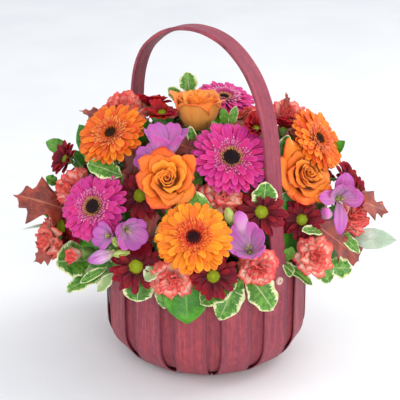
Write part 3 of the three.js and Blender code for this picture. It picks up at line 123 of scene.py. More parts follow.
LEAVES = [
  ('pittosporum_left', 'pitto', (-111.6, -61.6, 123.3), (-145.4, -69.6, 125.9), (-0.196, -0.507, 0.839), 43.5, 0, 0, 0, 0, 1),
  ('pittosporum_left', 'pitto', (-97.0, -78.0, 119.2), (-135.4, -84.0, 102.0), (-0.1, -0.33, 0.939), 24.0, 0, 0, 0, 0, 1),
  ('pittosporum_left', 'pitto', (-95.5, -84.0, 126.2), (-120.9, -92.0, 114.3), (0.198, -0.383, 0.902), 11, 0, 0, 0, 0, 1),
  ('pittosporum_left', 'pitto', (-88.5, -90.0, 123.8), (-105.0, -92.0, 104.8), (-0.619, -0.785, -0.016), 12, 0, 1, 0, 0, 1),
  ('pittosporum_left', 'pitto', (-81.3, -50.0, 206.8), (-114.6, -46.0, 218.5), (0.0, -0.609, 0.793), 23.04, 0, 0, 0, 0),
  ('pittosporum_left', 'pitto', (-148.4, 0.0, 179.2), (-159.8, -2.0, 187.4), (-0.199, -0.681, 0.705), 11, 0, 0, 1, 0),
  ('pittosporum_left', 'pitto', (-151.9, -8.0, 148.0), (-165.3, -10.0, 154.2), (-0.199, -0.681, 0.705), 9, 0, 0, 0, 0),
  ('pittosporum_front', 'pitto', (-63.7, -96.0, 126.0), (-66.3, -108.0, 102.2), (0.0, -0.741, 0.672), 32, 0, 0, 0, 0),
  ('pittosporum_front', 'pitto', (-42.3, -99.6, 126.9), (-40.4, -108.6, 95.2), (-0.197, -0.756, 0.624), 16.5, 0, 0, 0, 0),
  ('pittosporum_front', 'pitto', (-44.4, -109.5, 138.4), (-58.4, -113.5, 127.9), (-0.796, -0.516, 0.316), 20.0, 0, 1, 0, 0, 1),
  ('pittosporum_front', 'pitto', (28.6, -100.0, 126.0), (-7.1, -112.0, 102.1), (-0.1, -0.61, 0.786), 28, 0, 0, 0, 0),
  ('pittosporum_front', 'pitto', (30.6, -98.0, 126.0), (10.8, -113.0, 85.8), (0.1, -0.767, 0.633), 28, 0, 0, 0, 0),
  ('pittosporum_front', 'pitto', (36.3, -98.0, 126.0), (62.7, -107.0, 93.3), (0.15, -0.648, 0.747), 31, 0, 0, 0, 0),
  ('pittosporum_right', 'pitto', (71.9, -70.0, 126.0), (101.3, -80.0, 105.3), (0.0, -0.331, 0.944), 12, 0, 0, 0, 0),
  ('pittosporum_right', 'pitto', (105.1, -62.0, 122.4), (118.4, -72.0, 104.7), (0.199, -0.681, 0.705), 22, 0, 0, 0, 0),
  ('pittosporum_right', 'pitto', (126.8, -30.0, 142.3), (151.0, -34.0, 119.3), (0.303, -0.56, 0.771), 15, 0.3, 0, 0, 0),
  ('pittosporum_right', 'pitto', (115.7, -54.2, 112.2), (141.6, -50.2, 110.3), (0.2, -0.593, 0.78), 25.0, 0, 0, 0, 0),
  ('pittosporum_right', 'pitto', (51.1, -78.0, 181.4), (54.0, -84.0, 213.9), (0.1, -0.923, 0.373), 25, 0, 0, 0, 0),
  ('pittosporum_right', 'pitto', (75.8, -66.0, 126.0), (80.5, -74.0, 143.6), (0.1, -0.828, 0.551), 13, 0, 0, 1, 0),
  ('pittosporum_right', 'pitto', (75.8, -66.0, 126.0), (78.8, -82.0, 115.8), (0.302, -0.726, 0.618), 12, 0, 0, 0, 0),
  ('pittosporum_right', 'pitto', (110.0, -58.3, 152.2), (88.7, -92.3, 167.9), (0.1, -0.514, 0.852), 14.3, 0, 0, 0, 0, 1),
  ('pittosporum_top', 'pitto', (-17.0, 32.0, 262.7), (-20.0, 38.0, 283.6), (0.0, -0.885, 0.466), 19, 0, 0, 0, 0),
  ('pittosporum_top', 'pitto', (-25.0, 28.0, 257.7), (-38.6, 22.0, 272.0), (-0.206, -0.745, 0.635), 13, 0, 0, 0, 0),
  ('pittosporum_top', 'pitto', (-12.8, -34.0, 231.4), (-16.6, -36.0, 252.2), (-0.201, -0.866, 0.458), 10, 0, 0, 0, 0),
  ('pittosporum_top', 'pitto', (19.9, -18.0, 246.1), (13.9, -22.0, 265.6), (-0.302, -0.726, 0.618), 10, 0, 0, 1, 0),
  ('pittosporum_top', 'pitto', (21.7, -20.0, 246.8), (27.3, -20.0, 267.0), (0.302, -0.726, 0.618), 9, 0, 0, 0, 0),
  ('pittosporum_top', 'pitto', (71.9, -30.0, 215.7), (77.0, -30.0, 241.1), (-0.1, -0.88, 0.464), 15, 0, 0, 0, 0),
  ('pittosporum_back', 'pitto', (61.0, 91.2, 127.8), (79.0, 122.4, 102.6), (0.397, 0.688, 0.608), 26, 0, 0, 0, 0),
  ('pittosporum_back', 'pitto', (17.4, 106.7, 128.0), (22.4, 142.3, 99.3), (0.114, 0.813, 0.571), 28, 0, 0, 0, 0),
  ('pittosporum_back', 'pitto', (-38.6, 102.5, 128.0), (-49.5, 136.0, 101.7), (-0.25, 0.768, 0.589), 26, 0, 0, 0, 0),
  ('pittosporum_back', 'pitto', (-89.6, 74.7, 130.0), (-115.2, 99.4, 107.6), (-0.556, 0.537, 0.634), 26, 0, 0, 0, 0),
  ('pittosporum_back', 'pitto', (-18.0, 88.3, 185.3), (-34.6, 106.9, 208.5), (0.461, -0.133, 0.877), 22, 0, 0, 0, 0),
  ('oak_left', 'oak', (-128.2, -14.0, 152.7), (-192.2, -10.0, 172.4), (0.049, -0.574, 0.817), 55.0, 0.25, 0, 0, 0),
  ('oak_left', 'oak', (-140.3, -22.0, 128.0), (-173.7, -26.0, 105.8), (0.0, -0.613, 0.79), 30, 0, 0, 0, 0),
  ('oak_left', 'oak', (-89.9, 12.0, 240.1), (-126.4, 16.0, 251.2), (0.101, -0.389, 0.916), 18, 0, 0, 0, 0),
  ('oak_mid', 'oak', (-70.6, -40.0, 192.7), (-68.2, -34.0, 237.5), (0.0, -0.771, 0.636), 30, 0, 0, 0, 0),
  ('oak_mid', 'oak', (-52.6, -66.0, 182.5), (-55.9, -90.0, 151.8), (-0.201, -0.866, 0.458), 26, 0, 0, 0, 0),
  ('oak_mid', 'oak', (-114.1, 32.0, 139.4), (-161.3, 65.1, 145.5), (-0.355, 0.085, 0.931), 38, 0, 0, 0, 0),
  ('oak_right', 'oak', (133.5, -10.0, 170.3), (182.0, -4.0, 150.7), (0.1, -0.514, 0.852), 42.5, 0.42, 0, 0, 0),
  ('oak_right', 'oak', (79.7, 30.0, 244.6), (78.3, 32.0, 264.8), (0.527, -0.742, 0.414), 9, 0, 0, 0, 0),
  ('oak_back', 'oak', (67.0, 79.8, 137.1), (93.6, 123.0, 125.7), (0.375, 0.455, 0.807), 34.2, 0, 0, 0, 0),
  ('oak_back', 'oak', (-16.9, 104.0, 129.7), (-14.3, 149.2, 108.4), (-0.034, 0.712, 0.701), 36, 0, 0, 0, 0),
  ('oak_back', 'oak', (-60.4, 57.9, 196.1), (-78.9, 78.4, 230.3), (0.372, -0.414, 0.831), 30, 0, 0, 0, 0),
  ('salal_front', 'salal', (-22.2, -96.0, 126.0), (-18.4, -112.0, 81.1), (0.05, -0.735, 0.676), 44.1, 0, 0, 0, 0),
  ('salal_left', 'salal', (-101.2, -13.7, 207.3), (-125.5, 0.345, 241.4), (-0.3, -0.842, 0.448), 27.3, 0, 0, 0, 0),
  ('salal_left', 'salal', (118.0, 8.0, 205.9), (135.8, 4.0, 223.1), (0.206, -0.745, 0.635), 15, 0, 0, 0, 0),
  ('salal_left', 'salal', (37.6, 99.9, 129.7), (40.6, 144.1, 102.5), (0.143, 0.751, 0.644), 36, 0, 0, 0, 0),
  ('salal_left', 'salal', (-64.5, 89.1, 129.7), (-80.1, 130.4, 102.3), (-0.338, 0.689, 0.641), 36, 0, 0, 0, 0),
]
STEMS = {
  'rose_top': (2.6, [((-10.7, 3.8, 231.4), (-12.4, 5.2, 97.9))]),
  'rose_centre': (2.6, [((-34.2, -60.5, 198.7), (-14.8, -31.9, 109.2))]),
  'rose_right': (2.6, [((88.9, -15.3, 189.3), (10.1, -14.1, 98.4))]),
  'rose_back': (2.6, [((0.0, 57.9, 191.1), (9.2, 5.7, 101.8))]),
  'gerbera_orange_left': (2.4, [((-88.9, -16.4, 234.4), (-19.3, -3.7, 106.3))]),
  'gerbera_pink_left': (2.4, [((-103.7, -57.4, 176.2), (-48.1, -13.7, 103.5))]),
  'gerbera_pink_centre': (2.4, [((22.6, -48.3, 224.2), (-6.8, -13.8, 117.2))]),
  'gerbera_yellow_front': (2.4, [((-13.0, -111.6, 170.9), (-0.2, -17.2, 105.7))]),
  'gerbera_pink_top': (2.4, [((20.1, 51.6, 243.5), (-5.6, 4.6, 101.4))]),
  'gerbera_orange_right': (2.4, [((105.1, -2.2, 223.6), (37.8, -6.1, 111.2))]),
  'gerbera_orange_back': (2.4, [((-56.4, 98.8, 158.8), (-22.1, 37.1, 114.2))]),
  'gerbera_pink_back': (2.4, [((62.9, 85.9, 178.5), (15.5, 19.0, 118.8))]),
  'chrysanthemum_front': (1.6, [((-18.8, -80.1, 126.9), (-17.9, -27.7, 99.1)), ((-65.4, -98.3, 134.3), (-18.8, -80.1, 126.9)), ((5.2, -109.1, 131.3), (-18.8, -80.1, 126.9))]),
  'chrysanthemum_left': (1.6, [((-92.5, -12.8, 161.1), (-44.4, 2.0, 104.2)), ((-62.1, -56.9, 188.8), (-92.5, -12.8, 161.1)), ((-135.5, 6.8, 201.1), (-92.5, -12.8, 161.1)), ((-141.9, -12.3, 139.1), (-92.5, -12.8, 161.1))]),
  'chrysanthemum_right': (1.6, [((34.5, -58.0, 147.0), (23.2, -31.4, 108.0)), ((47.9, -82.6, 180.5), (34.5, -58.0, 147.0)), ((91.1, -52.5, 162.6), (34.5, -58.0, 147.0))]),
  'chrysanthemum_side': (1.6, [((50.5, 46.3, 169.6), (18.6, 17.9, 97.4)), ((133.1, 2.5, 182.9), (50.5, 46.3, 169.6)), ((143.7, -3.5, 170.0), (50.5, 46.3, 169.6)), ((112.4, 38.9, 180.0), (50.5, 46.3, 169.6)), ((-81.5, 94.5, 118.5), (50.5, 46.3, 169.6)), ((-65.8, 72.3, 194.3), (50.5, 46.3, 169.6))]),
  'chrysanthemum_top': (1.6, [((-11.1, -13.8, 161.2), (-3.2, -6.0, 97.6)), ((-54.0, 25.9, 255.4), (-11.1, -13.8, 161.2)), ((-43.7, 0.3, 248.5), (-11.1, -13.8, 161.2)), ((39.1, -21.6, 246.0), (-11.1, -13.8, 161.2)), ((74.2, 7.9, 232.2), (-11.1, -13.8, 161.2))]),
  'chrysanthemum_back': (1.6, [((18.7, 74.0, 147.2), (16.6, 24.0, 105.4)), ((52.4, 111.2, 120.5), (18.7, 74.0, 147.2)), ((-36.5, 61.3, 220.9), (18.7, 74.0, 147.2)), ((-102.8, 55.1, 180.0), (18.7, 74.0, 147.2)), ((133.1, 26.6, 126.2), (18.7, 74.0, 147.2)), ((-35.8, 113.4, 117.1), (18.7, 74.0, 147.2)), ((53.7, 56.5, 214.3), (18.7, 74.0, 147.2))]),
  'carnation_left': (1.5, [((-96.2, -26.8, 129.7), (-50.0, -2.1, 102.0)), ((-117.9, -11.7, 174.4), (-96.2, -26.8, 129.7)), ((-137.3, -11.7, 129.2), (-96.2, -26.8, 129.7)), ((-107.0, -56.0, 132.3), (-96.2, -26.8, 129.7))]),
  'carnation_top': (1.5, [((-0.7, 24.8, 199.1), (-7.5, 20.8, 112.5)), ((-77.5, 28.3, 230.8), (-0.7, 24.8, 199.1)), ((35.4, 18.4, 230.7), (-0.7, 24.8, 199.1)), ((77.4, 43.7, 218.8), (-0.7, 24.8, 199.1))]),
  'carnation_front': (1.5, [((10.9, -74.1, 146.7), (-8.8, -39.7, 99.0)), ((14.0, -53.8, 188.2), (10.9, -74.1, 146.7)), ((-33.5, -90.3, 126.4), (10.9, -74.1, 146.7)), ((45.2, -79.1, 128.5), (10.9, -74.1, 146.7))]),
  'carnation_right': (1.5, [((80.7, -30.5, 145.8), (49.1, -9.7, 96.9)), ((97.1, -55.4, 129.0), (80.7, -30.5, 145.8)), ((129.6, -2.3, 140.5), (80.7, -30.5, 145.8))]),
  'carnation_back': (1.5, [((-38.8, 46.3, 160.4), (-15.8, 16.4, 113.7)), ((4.2, 100.7, 133.2), (-38.8, 46.3, 160.4)), ((-95.0, 62.0, 133.2), (-38.8, 46.3, 160.4)), ((96.0, 60.5, 135.1), (-38.8, 46.3, 160.4)), ((-112.5, 28.1, 134.2), (-38.8, 46.3, 160.4)), ((-87.8, 15.0, 186.7), (-38.8, 46.3, 160.4)), ((-110.5, 7.4, 155.2), (-38.8, 46.3, 160.4)), ((78.4, 25.8, 191.8), (-38.8, 46.3, 160.4))]),
  'freesia_upper': (1.5, [((-33.1, -33.9, 171.7), (-18.5, 1.8, 111.7)), ((-41.0, -50.5, 209.9), (-33.1, -33.9, 171.7)), ((-45.1, -46.7, 219.3), (-33.1, -33.9, 171.7))]),
  'freesia_left': (1.5, [((-60.9, -57.5, 154.5), (-13.2, -6.4, 119.0)), ((-79.5, -69.3, 161.1), (-60.9, -57.5, 154.5)), ((-83.1, -71.7, 164.4), (-60.9, -57.5, 154.5)), ((-82.4, -92.9, 147.2), (-60.9, -57.5, 154.5))]),
  'freesia_front': (1.5, [((34.0, -67.8, 145.2), (13.3, -24.1, 120.4)), ((34.2, -96.0, 142.0), (34.0, -67.8, 145.2)), ((30.0, -96.6, 170.6), (34.0, -67.8, 145.2))]),
  'freesia_right': (1.5, [((101.7, -13.3, 146.8), (48.3, -0.7, 106.8)), ((122.2, -16.1, 171.2), (101.7, -13.3, 146.8)), ((116.1, -42.9, 164.7), (101.7, -13.3, 146.8))]),
  'freesia_back': (1.5, [((0.7, 55.4, 154.4), (-3.7, 41.0, 98.2)), ((-1.9, 90.0, 167.6), (0.7, 55.4, 154.4)), ((21.0, 66.0, 203.6), (0.7, 55.4, 154.4)), ((-68.6, 36.6, 198.7), (0.7, 55.4, 154.4)), ((77.7, 79.5, 116.3), (0.7, 55.4, 154.4))]),
  'oak_left': (1.5, [((-119.9, -18.9, 173.3), (-11.7, -13.6, 114.3)), ((-144.2, -13.0, 157.6), (-119.9, -18.9, 173.3)), ((-140.3, -22.0, 128.0), (-119.9, -18.9, 173.3)), ((-89.9, 12.0, 240.1), (-119.9, -18.9, 173.3))]),
  'oak_mid': (1.5, [((-51.6, -12.5, 153.5), (-24.6, 5.8, 106.5)), ((-70.6, -40.0, 192.7), (-51.6, -12.5, 153.5)), ((-52.6, -66.0, 182.5), (-51.6, -12.5, 153.5)), ((-114.1, 32.0, 139.4), (-51.6, -12.5, 153.5))]),
  'oak_right': (1.5, [((118.5, -19.5, 138.8), (49.9, -2.8, 99.7)), ((153.9, -7.5, 162.1), (118.5, -19.5, 138.8)), ((127.4, -44.0, 132.9), (118.5, -19.5, 138.8))]),
  'oak_back': (1.5, [((-8.0, 85.5, 156.9), (1.8, 46.0, 101.8)), ((83.0, 76.8, 129.7), (-8.0, 85.5, 156.9)), ((-16.9, 104.0, 129.7), (-8.0, 85.5, 156.9)), ((-60.4, 57.9, 196.1), (-8.0, 85.5, 156.9))]),
  'pittosporum_left': (1.4, [((-79.6, -50.0, 161.9), (-31.4, -17.6, 102.7)), ((-111.6, -62.0, 122.4), (-79.6, -50.0, 161.9)), ((-97.0, -78.0, 119.2), (-79.6, -50.0, 161.9)), ((-135.9, 6.0, 209.8), (-79.6, -50.0, 161.9)), ((-81.3, -50.0, 206.8), (-79.6, -50.0, 161.9))]),
  'pittosporum_front': (1.4, [((1.7, -97.6, 142.5), (10.6, -32.1, 101.4)), ((-63.7, -96.0, 126.0), (1.7, -97.6, 142.5)), ((-37.3, -100.0, 126.0), (1.7, -97.6, 142.5)), ((-46.4, -100.0, 137.8), (1.7, -97.6, 142.5)), ((28.6, -100.0, 126.0), (1.7, -97.6, 142.5)), ((30.6, -98.0, 126.0), (1.7, -97.6, 142.5)), ((36.3, -98.0, 126.0), (1.7, -97.6, 142.5)), ((6.0, -84.0, 183.9), (1.7, -97.6, 142.5))]),
  'pittosporum_right': (1.4, [((64.3, -25.4, 126.8), (45.5, -17.0, 97.7)), ((105.1, -62.0, 122.4), (64.3, -25.4, 126.8)), ((134.0, -31.2, 135.4), (64.3, -25.4, 126.8)), ((119.7, -52.0, 117.8), (64.3, -25.4, 126.8)), ((51.1, -78.0, 181.4), (64.3, -25.4, 126.8)), ((75.8, -66.0, 126.0), (64.3, -25.4, 126.8))]),
  'pittosporum_top': (1.4, [((1.7, 16.6, 215.7), (14.3, 2.4, 110.1)), ((-17.0, 32.0, 262.7), (1.7, 16.6, 215.7)), ((-25.0, 28.0, 257.7), (1.7, 16.6, 215.7)), ((71.9, -30.0, 215.7), (1.7, 16.6, 215.7))]),
  'pittosporum_back': (1.4, [((-24.8, 59.2, 128.7), (-13.6, 44.0, 118.4)), ((61.0, 91.2, 127.8), (-24.8, 59.2, 128.7)), ((17.4, 106.7, 128.0), (-24.8, 59.2, 128.7)), ((-38.6, 102.5, 128.0), (-24.8, 59.2, 128.7)), ((-89.6, 74.7, 130.0), (-24.8, 59.2, 128.7)), ((-18.0, 88.3, 185.3), (-24.8, 59.2, 128.7))]),
  'salal_front': (1.4, [((66.3, -57.7, 128.0), (20.7, -22.7, 114.8)), ((-22.2, -96.0, 126.0), (66.3, -57.7, 128.0)), ((161.4, -9.2, 131.5), (66.3, -57.7, 128.0))]),
  'salal_left': (1.4, [((-10.3, 33.1, 153.3), (-3.6, 31.7, 99.0)), ((-100.2, -22.0, 210.7), (-10.3, 33.1, 153.3)), ((118.0, 8.0, 205.9), (-10.3, 33.1, 153.3)), ((37.6, 99.9, 129.7), (-10.3, 33.1, 153.3)), ((-64.5, 89.1, 129.7), (-10.3, 33.1, 153.3))]),
}
MORE = [
  ('salal_left', 'salal', (-109.4, 12.9, 182.8), (-132.9, 16.4, 209.2), (-0.62, -0.429, 0.657), 20, 0, 0, 0, 0),
  ('salal_left', 'salal', (-99.7, -60.5, 134.4), (-130.1, -23.0, 132.8), (-0.584, -0.764, 0.275), 26, 0, 0, 0, 0),
  ('salal_left', 'salal', (-94.3, -60.0, 121.5), (-121.5, -34.4, 124.9), (-0.561, -0.801, 0.211), 28, 0, 0, 0, 0),
  ('pittosporum_left', 'pitto', (-111.4, 14.2, 188.7), (-127.3, 10.0, 181.7), (-0.648, -0.44, 0.622), 12, 0, 0, 0, 0),
  ('oak_left', 'oak', (-79.8, -10.6, 198.1), (-61.3, 26.1, 216.4), (-0.42, -0.449, 0.789), 34, 0, 0, 0, 0),
  ('salal_left', 'salal', (-89.4, 19.2, 197.6), (-65.2, 28.5, 228.3), (-0.451, -0.35, 0.821), 30, 0, 0, 0, 0),
  ('salal_left', 'salal', (-57.3, 24.1, 206.5), (-71.0, 30.5, 240.2), (-0.364, -0.323, 0.874), 30, 0, 0, 0, 0),
  ('oak_left', 'oak', (-117.7, -5.4, 129.5), (-147.2, -1.074, 156.0), (-0.751, -0.556, 0.355), 34, 0, 0, 0, 0),
  ('oak_left', 'oak', (-111.5, 8.7, 169.4), (-141.0, 10.2, 190.2), (-0.674, -0.46, 0.578), 34, 0, 0, 0, 0),
  ('salal_front', 'salal', (110.2, -15.7, 144.8), (139.2, -14.4, 118.1), (0.716, -0.632, 0.296), 34, 0, 0, 0, 0),
  ('salal_front', 'salal', (119.4, 0.724, 150.9), (145.1, -9.0, 135.4), (0.742, -0.557, 0.373), 30, 0, 0, 0, 0),
  ('pittosporum_right', 'pitto', (127.4, -9.0, 126.7), (153.0, -18.1, 115.4), (0.748, -0.623, 0.228), 24, 0, 0, 0, 0),
  ('salal_front', 'salal', (78.2, -46.6, 153.7), (90.3, -52.7, 122.4), (0.476, -0.826, 0.302), 30, 0, 0, 0, 0),
  ('salal_front', 'salal', (129.4, -12.2, 119.3), (112.4, -47.3, 115.6), (0.664, -0.723, 0.19), 26, 0, 0, 0, 0),
  ('salal_front', 'salal', (-1.185, 7.4, 229.2), (6.9, 34.8, 249.3), (0.01, -0.366, 0.931), 26, 0, 0, 0, 0),
  ('oak_right', 'oak', (85.1, 21.3, 207.5), (92.7, 26.3, 233.2), (0.46, -0.363, 0.81), 26, 0, 0, 0, 0),
  ('salal_front', 'salal', (65.2, 23.1, 206.8), (84.8, 26.7, 231.0), (0.413, -0.341, 0.844), 30, 0, 0, 0, 0),
  ('salal_left', 'salal', (-37.2, 30.0, 227.8), (-57.0, 33.6, 251.8), (-0.241, -0.308, 0.92), 26, 0, 0, 0, 0),
  ('salal_front', 'salal', (21.0, 31.5, 233.6), (30.9, 33.7, 246.5), (0.133, -0.295, 0.946), 20, 0, 0, 0, 0),
  ('oak_right', 'oak', (100.5, -55.7, 161.7), (154.0, -22.7, 104.3), (0.59, -0.754, 0.289), 44, 0, 0, 0, 0),
  ('salal_left', 'salal', (-105.3, -36.7, 134.5), (-141.5, -13.6, 117.8), (-0.675, -0.695, 0.249), 22, 0, 0, 0, 0),
  ('salal_left', 'salal', (-110.0, -17.5, 154.1), (-141.3, -0.157, 155.6), (-0.692, -0.581, 0.429), 22, 0, 0, 0, 0),
  ('salal_left', 'salal', (-143.4, -5.6, 140.5), (-183.5, -15.0, 136.9), (-0.742, -0.589, 0.32), 3.6, 0, 0, 0, 1),
  ('pittosporum_front', 'pitto', (3.0, -97.9, 195.6), (-30.2, -95.0, 192.4), (-0.051, -0.88, 0.472), 34, 0, 0, 0, 0),
  ('salal_front', 'salal', (48.2, 4.0, 213.7), (39.0, 30.4, 231.8), (0.255, -0.381, 0.889), 24, 0, 0, 0, 0),
  ('oak_right', 'oak', (63.1, 24.2, 210.7), (73.8, 28.9, 236.6), (0.374, -0.332, 0.866), 26, 0, 0, 0, 0),
  ('salal_front', 'salal', (143.2, -12.1, 125.9), (188.8, -21.4, 127.8), (0.736, -0.627, 0.255), 22, 0, 0, 0, 1),
  ('pittosporum_top', 'pitto', (-138.2, 28.2, 201.8), (-161.8, 27.0, 214.0), (-0.643, -0.39, 0.66), 17, 0, 0, 1, 0),
  ('salal_left', 'salal', (-70.0, -78.0, 129.8), (-104.5, -50.3, 127.7), (-0.433, -0.871, 0.232), 28, 0, 0, 0, 0),
  ('salal_left', 'salal', (-93.2, -54.1, 101.5), (-125.7, -17.3, 101.8), (-0.623, -0.778, 0.085), 24, 0, 0, 0, 0),
  ('salal_left', 'salal', (-46.7, -89.1, 139.0), (-54.6, -89.2, 112.0), (-0.225, -0.953, 0.203), 24, 0, 0, 0, 0),
]

# ------------------------------------------------------------------ mesh buffer
_quads = {}
def _grid_faces(nu, nv):
    k = (nu, nv)
    if k not in _quads:
        i, j = np.meshgrid(np.arange(nu - 1), np.arange(nv - 1), indexing="ij")
        a = (i * nv + j).ravel()
        front = np.stack([a, a + nv, a + nv + 1, a + 1], 1)
        n = nu * nv
        back = front[:, ::-1] + n
        ring = ([j for j in range(nv)] + [i * nv + nv - 1 for i in range(1, nu)]
                + [(nu - 1) * nv + j for j in range(nv - 2, -1, -1)] + [i * nv for i in range(nu - 2, 0, -1)])
        r = np.array(ring); r2 = np.roll(r, -1)
        rim = np.stack([r, r2, r2 + n, r + n], 1)
        _quads[k] = (front, back, rim)
    return _quads[k]


def grid_normals(P):
    du = np.gradient(P, axis=0); dv = np.gradient(P, axis=1)
    n = np.cross(du, dv)
    l = np.linalg.norm(n, axis=2, keepdims=True)
    bad = l[..., 0] < 1e-9
    n = n / np.maximum(l, 1e-9)
    if bad.any():
        m = n[~bad].mean(axis=0) if (~bad).any() else np.array([0, 0, 1.0])
        n[bad] = m / max(np.linalg.norm(m), 1e-9)
    return n


class Buf:
    """Collects quads and triangles of one piece, millimetres, world frame."""

    def __init__(self):
        self.v, self.f4, self.f3, self.a, self.m4, self.m3, self.s4 = [], [], [], [], [], [], []
        self.n = 0; self.over = (); self.reach = (1.04, .42)

    def add(self, V, A, quads=None, tris=None, mat=0, smooth=True):
        self.v.append(V.reshape(-1, 3)); self.a.append(A.reshape(-1, 4))
        if quads is not None and len(quads):
            self.f4.append(np.asarray(quads) + self.n); self.m4.append(np.full(len(quads), mat)); self.s4.append(np.full(len(quads), smooth))
        if tris is not None and len(tris):
            self.f3.append(np.asarray(tris) + self.n); self.m3.append(np.full(len(tris), mat))
        self.n += len(V.reshape(-1, 3))

    def sheet(self, P, A, th, mat=0, back=None):
        """closed thin body around a grid of points"""
        if self.over:
            P = yield_to(P, self.over, self.reach)
        nu, nv = P.shape[:2]
        n = grid_normals(P) * (th / 2)
        front, bk, rim = _grid_faces(nu, nv)
        V = np.concatenate([(P + n).reshape(-1, 3), (P - n).reshape(-1, 3)])
        A2 = np.concatenate([A.reshape(-1, 4), A.reshape(-1, 4)])
        base = self.n
        self.v.append(V); self.a.append(A2)
        for F, m, s in ((front, mat, True), (bk, mat if back is None else back, True), (rim, mat, False)):
            self.f4.append(F + base); self.m4.append(np.full(len(F), m)); self.s4.append(np.full(len(F), s))
        self.n += len(V)

    def lathe(self, prof, seg, p, basis, A=None, mat=0, wob=None):
        """profile [(r, h)] starting and ending on the axis, revolved about the third axis of basis"""
        th = np.arange(seg) / seg * TAU
        rs = np.array([q[0] for q in prof]); hs = np.array([q[1] for q in prof])
        mid = len(rs) - 2
        R, T = np.meshgrid(rs[1:-1], th, indexing="ij"); H = np.repeat(hs[1:-1][:, None], seg, 1)
        if wob is not None:
            R = R * wob(T, H)
        V = np.stack([R * np.cos(T), R * np.sin(T), H], 2).reshape(-1, 3)
        V = np.concatenate([V, [[0, 0, hs[0]], [0, 0, hs[-1]]]])
        i, j = np.meshgrid(np.arange(mid - 1), np.arange(seg), indexing="ij")
        a = (i * seg + j).ravel(); b = (i * seg + (j + 1) % seg).ravel()
        q = np.stack([a, b, b + seg, a + seg], 1)
        c0, c1 = mid * seg, mid * seg + 1
        j = np.arange(seg); k = (j + 1) % seg
        t = np.concatenate([np.stack([np.full(seg, c0), k, j], 1), np.stack([np.full(seg, c1), (mid - 1) * seg + j, (mid - 1) * seg + k], 1)])
        if hs[0] > hs[-1]:
            q = q[:, ::-1]; t = t[:, ::-1]
        tt = np.concatenate([np.repeat(np.linspace(0, 1, mid), seg), [0, 1]])
        AA = np.zeros((len(V), 4)); AA[:, 0] = tt; AA[:, 1] = 0.5; AA[:, 2] = 0.5; AA[:, 3] = 1
        if A is not None:
            AA[:, 2] = A[0]; AA[:, 3] = A[1]
        self.add(p + V @ basis, AA, q, t, mat)

    def tube(self, pts, rad, sides=7, mat=0, rnd=0.5):
        pts = np.asarray(pts, float); n = len(pts)
        rad = np.full(n, rad) if np.isscalar(rad) else np.asarray(rad)
        T = np.gradient(pts, axis=0); T /= np.maximum(np.linalg.norm(T, axis=1, keepdims=True), 1e-9)
        ref = np.array([0, 0, 1.0]) if abs(T[0][2]) < 0.9 else np.array([1.0, 0, 0])
        u = np.cross(T[0], ref); u /= np.linalg.norm(u)
        rings = []
        for i in range(n):
            u = u - T[i] * (u @ T[i]); u /= max(np.linalg.norm(u), 1e-9); w = np.cross(T[i], u)
            a = np.arange(sides) / sides * TAU
            rings.append(pts[i] + rad[i] * (np.cos(a)[:, None] * u + np.sin(a)[:, None] * w))
        V = np.concatenate(rings + [pts[:1], pts[-1:]])
        i, j = np.meshgrid(np.arange(n - 1), np.arange(sides), indexing="ij")
        a = (i * sides + j).ravel(); b = (i * sides + (j + 1) % sides).ravel()
        q = np.stack([a, b, b + sides, a + sides], 1)
        j = np.arange(sides); k = (j + 1) % sides; c0 = n * sides
        t = np.concatenate([np.stack([np.full(sides, c0), k, j], 1), np.stack([np.full(sides, c0 + 1), (n - 1) * sides + j, (n - 1) * sides + k], 1)])
        AA = np.zeros((len(V), 4)); AA[:, 0] = np.concatenate([np.repeat(np.linspace(0, 1, n), sides), [0, 1]]); AA[:, 1] = 0.5; AA[:, 2] = rnd; AA[:, 3] = 1
        self.add(V, AA, q, t, mat)

    def bumps(self, C, N, R, H, mat=0, rnd=None, tone=1.0, sides=5):
        """small pointed beads: centres C, axes N, radii R, heights H"""
        C = np.asarray(C); k = len(C)
        R = np.broadcast_to(R, (k,)); H = np.broadcast_to(H, (k,))
        a = np.arange(sides) / sides * TAU
        for i in range(k):
            n = N[i] / np.linalg.norm(N[i])
            ref = np.array([0, 0, 1.0]) if abs(n[2]) < 0.9 else np.array([1.0, 0, 0])
            u = np.cross(n, ref); u /= np.linalg.norm(u); w = np.cross(n, u)
            ring = np.cos(a)[:, None] * u + np.sin(a)[:, None] * w
            V = np.concatenate([[C[i] - n * R[i] * 0.6], C[i] + ring * R[i], C[i] + n * H[i] * 0.72 + ring * R[i] * 0.66, [C[i] + n * H[i]]])
            j = np.arange(sides); l = (j + 1) % sides
            q = np.stack([1 + j, 1 + l, 1 + l + sides, 1 + j + sides], 1)
            t = np.concatenate([np.stack([np.zeros(sides, int), 1 + l, 1 + j], 1), np.stack([np.full(sides, 1 + 2 * sides), 1 + sides + j, 1 + sides + l], 1)])
            AA = np.zeros((len(V), 4)); AA[:, 0] = [0] + [0.1] * sides + [0.8] * sides + [1]; AA[:, 1] = 0.5
            AA[:, 2] = (rnd[i] if rnd is not None else 0.5); AA[:, 3] = tone
            self.add(V, AA, q, t, mat)

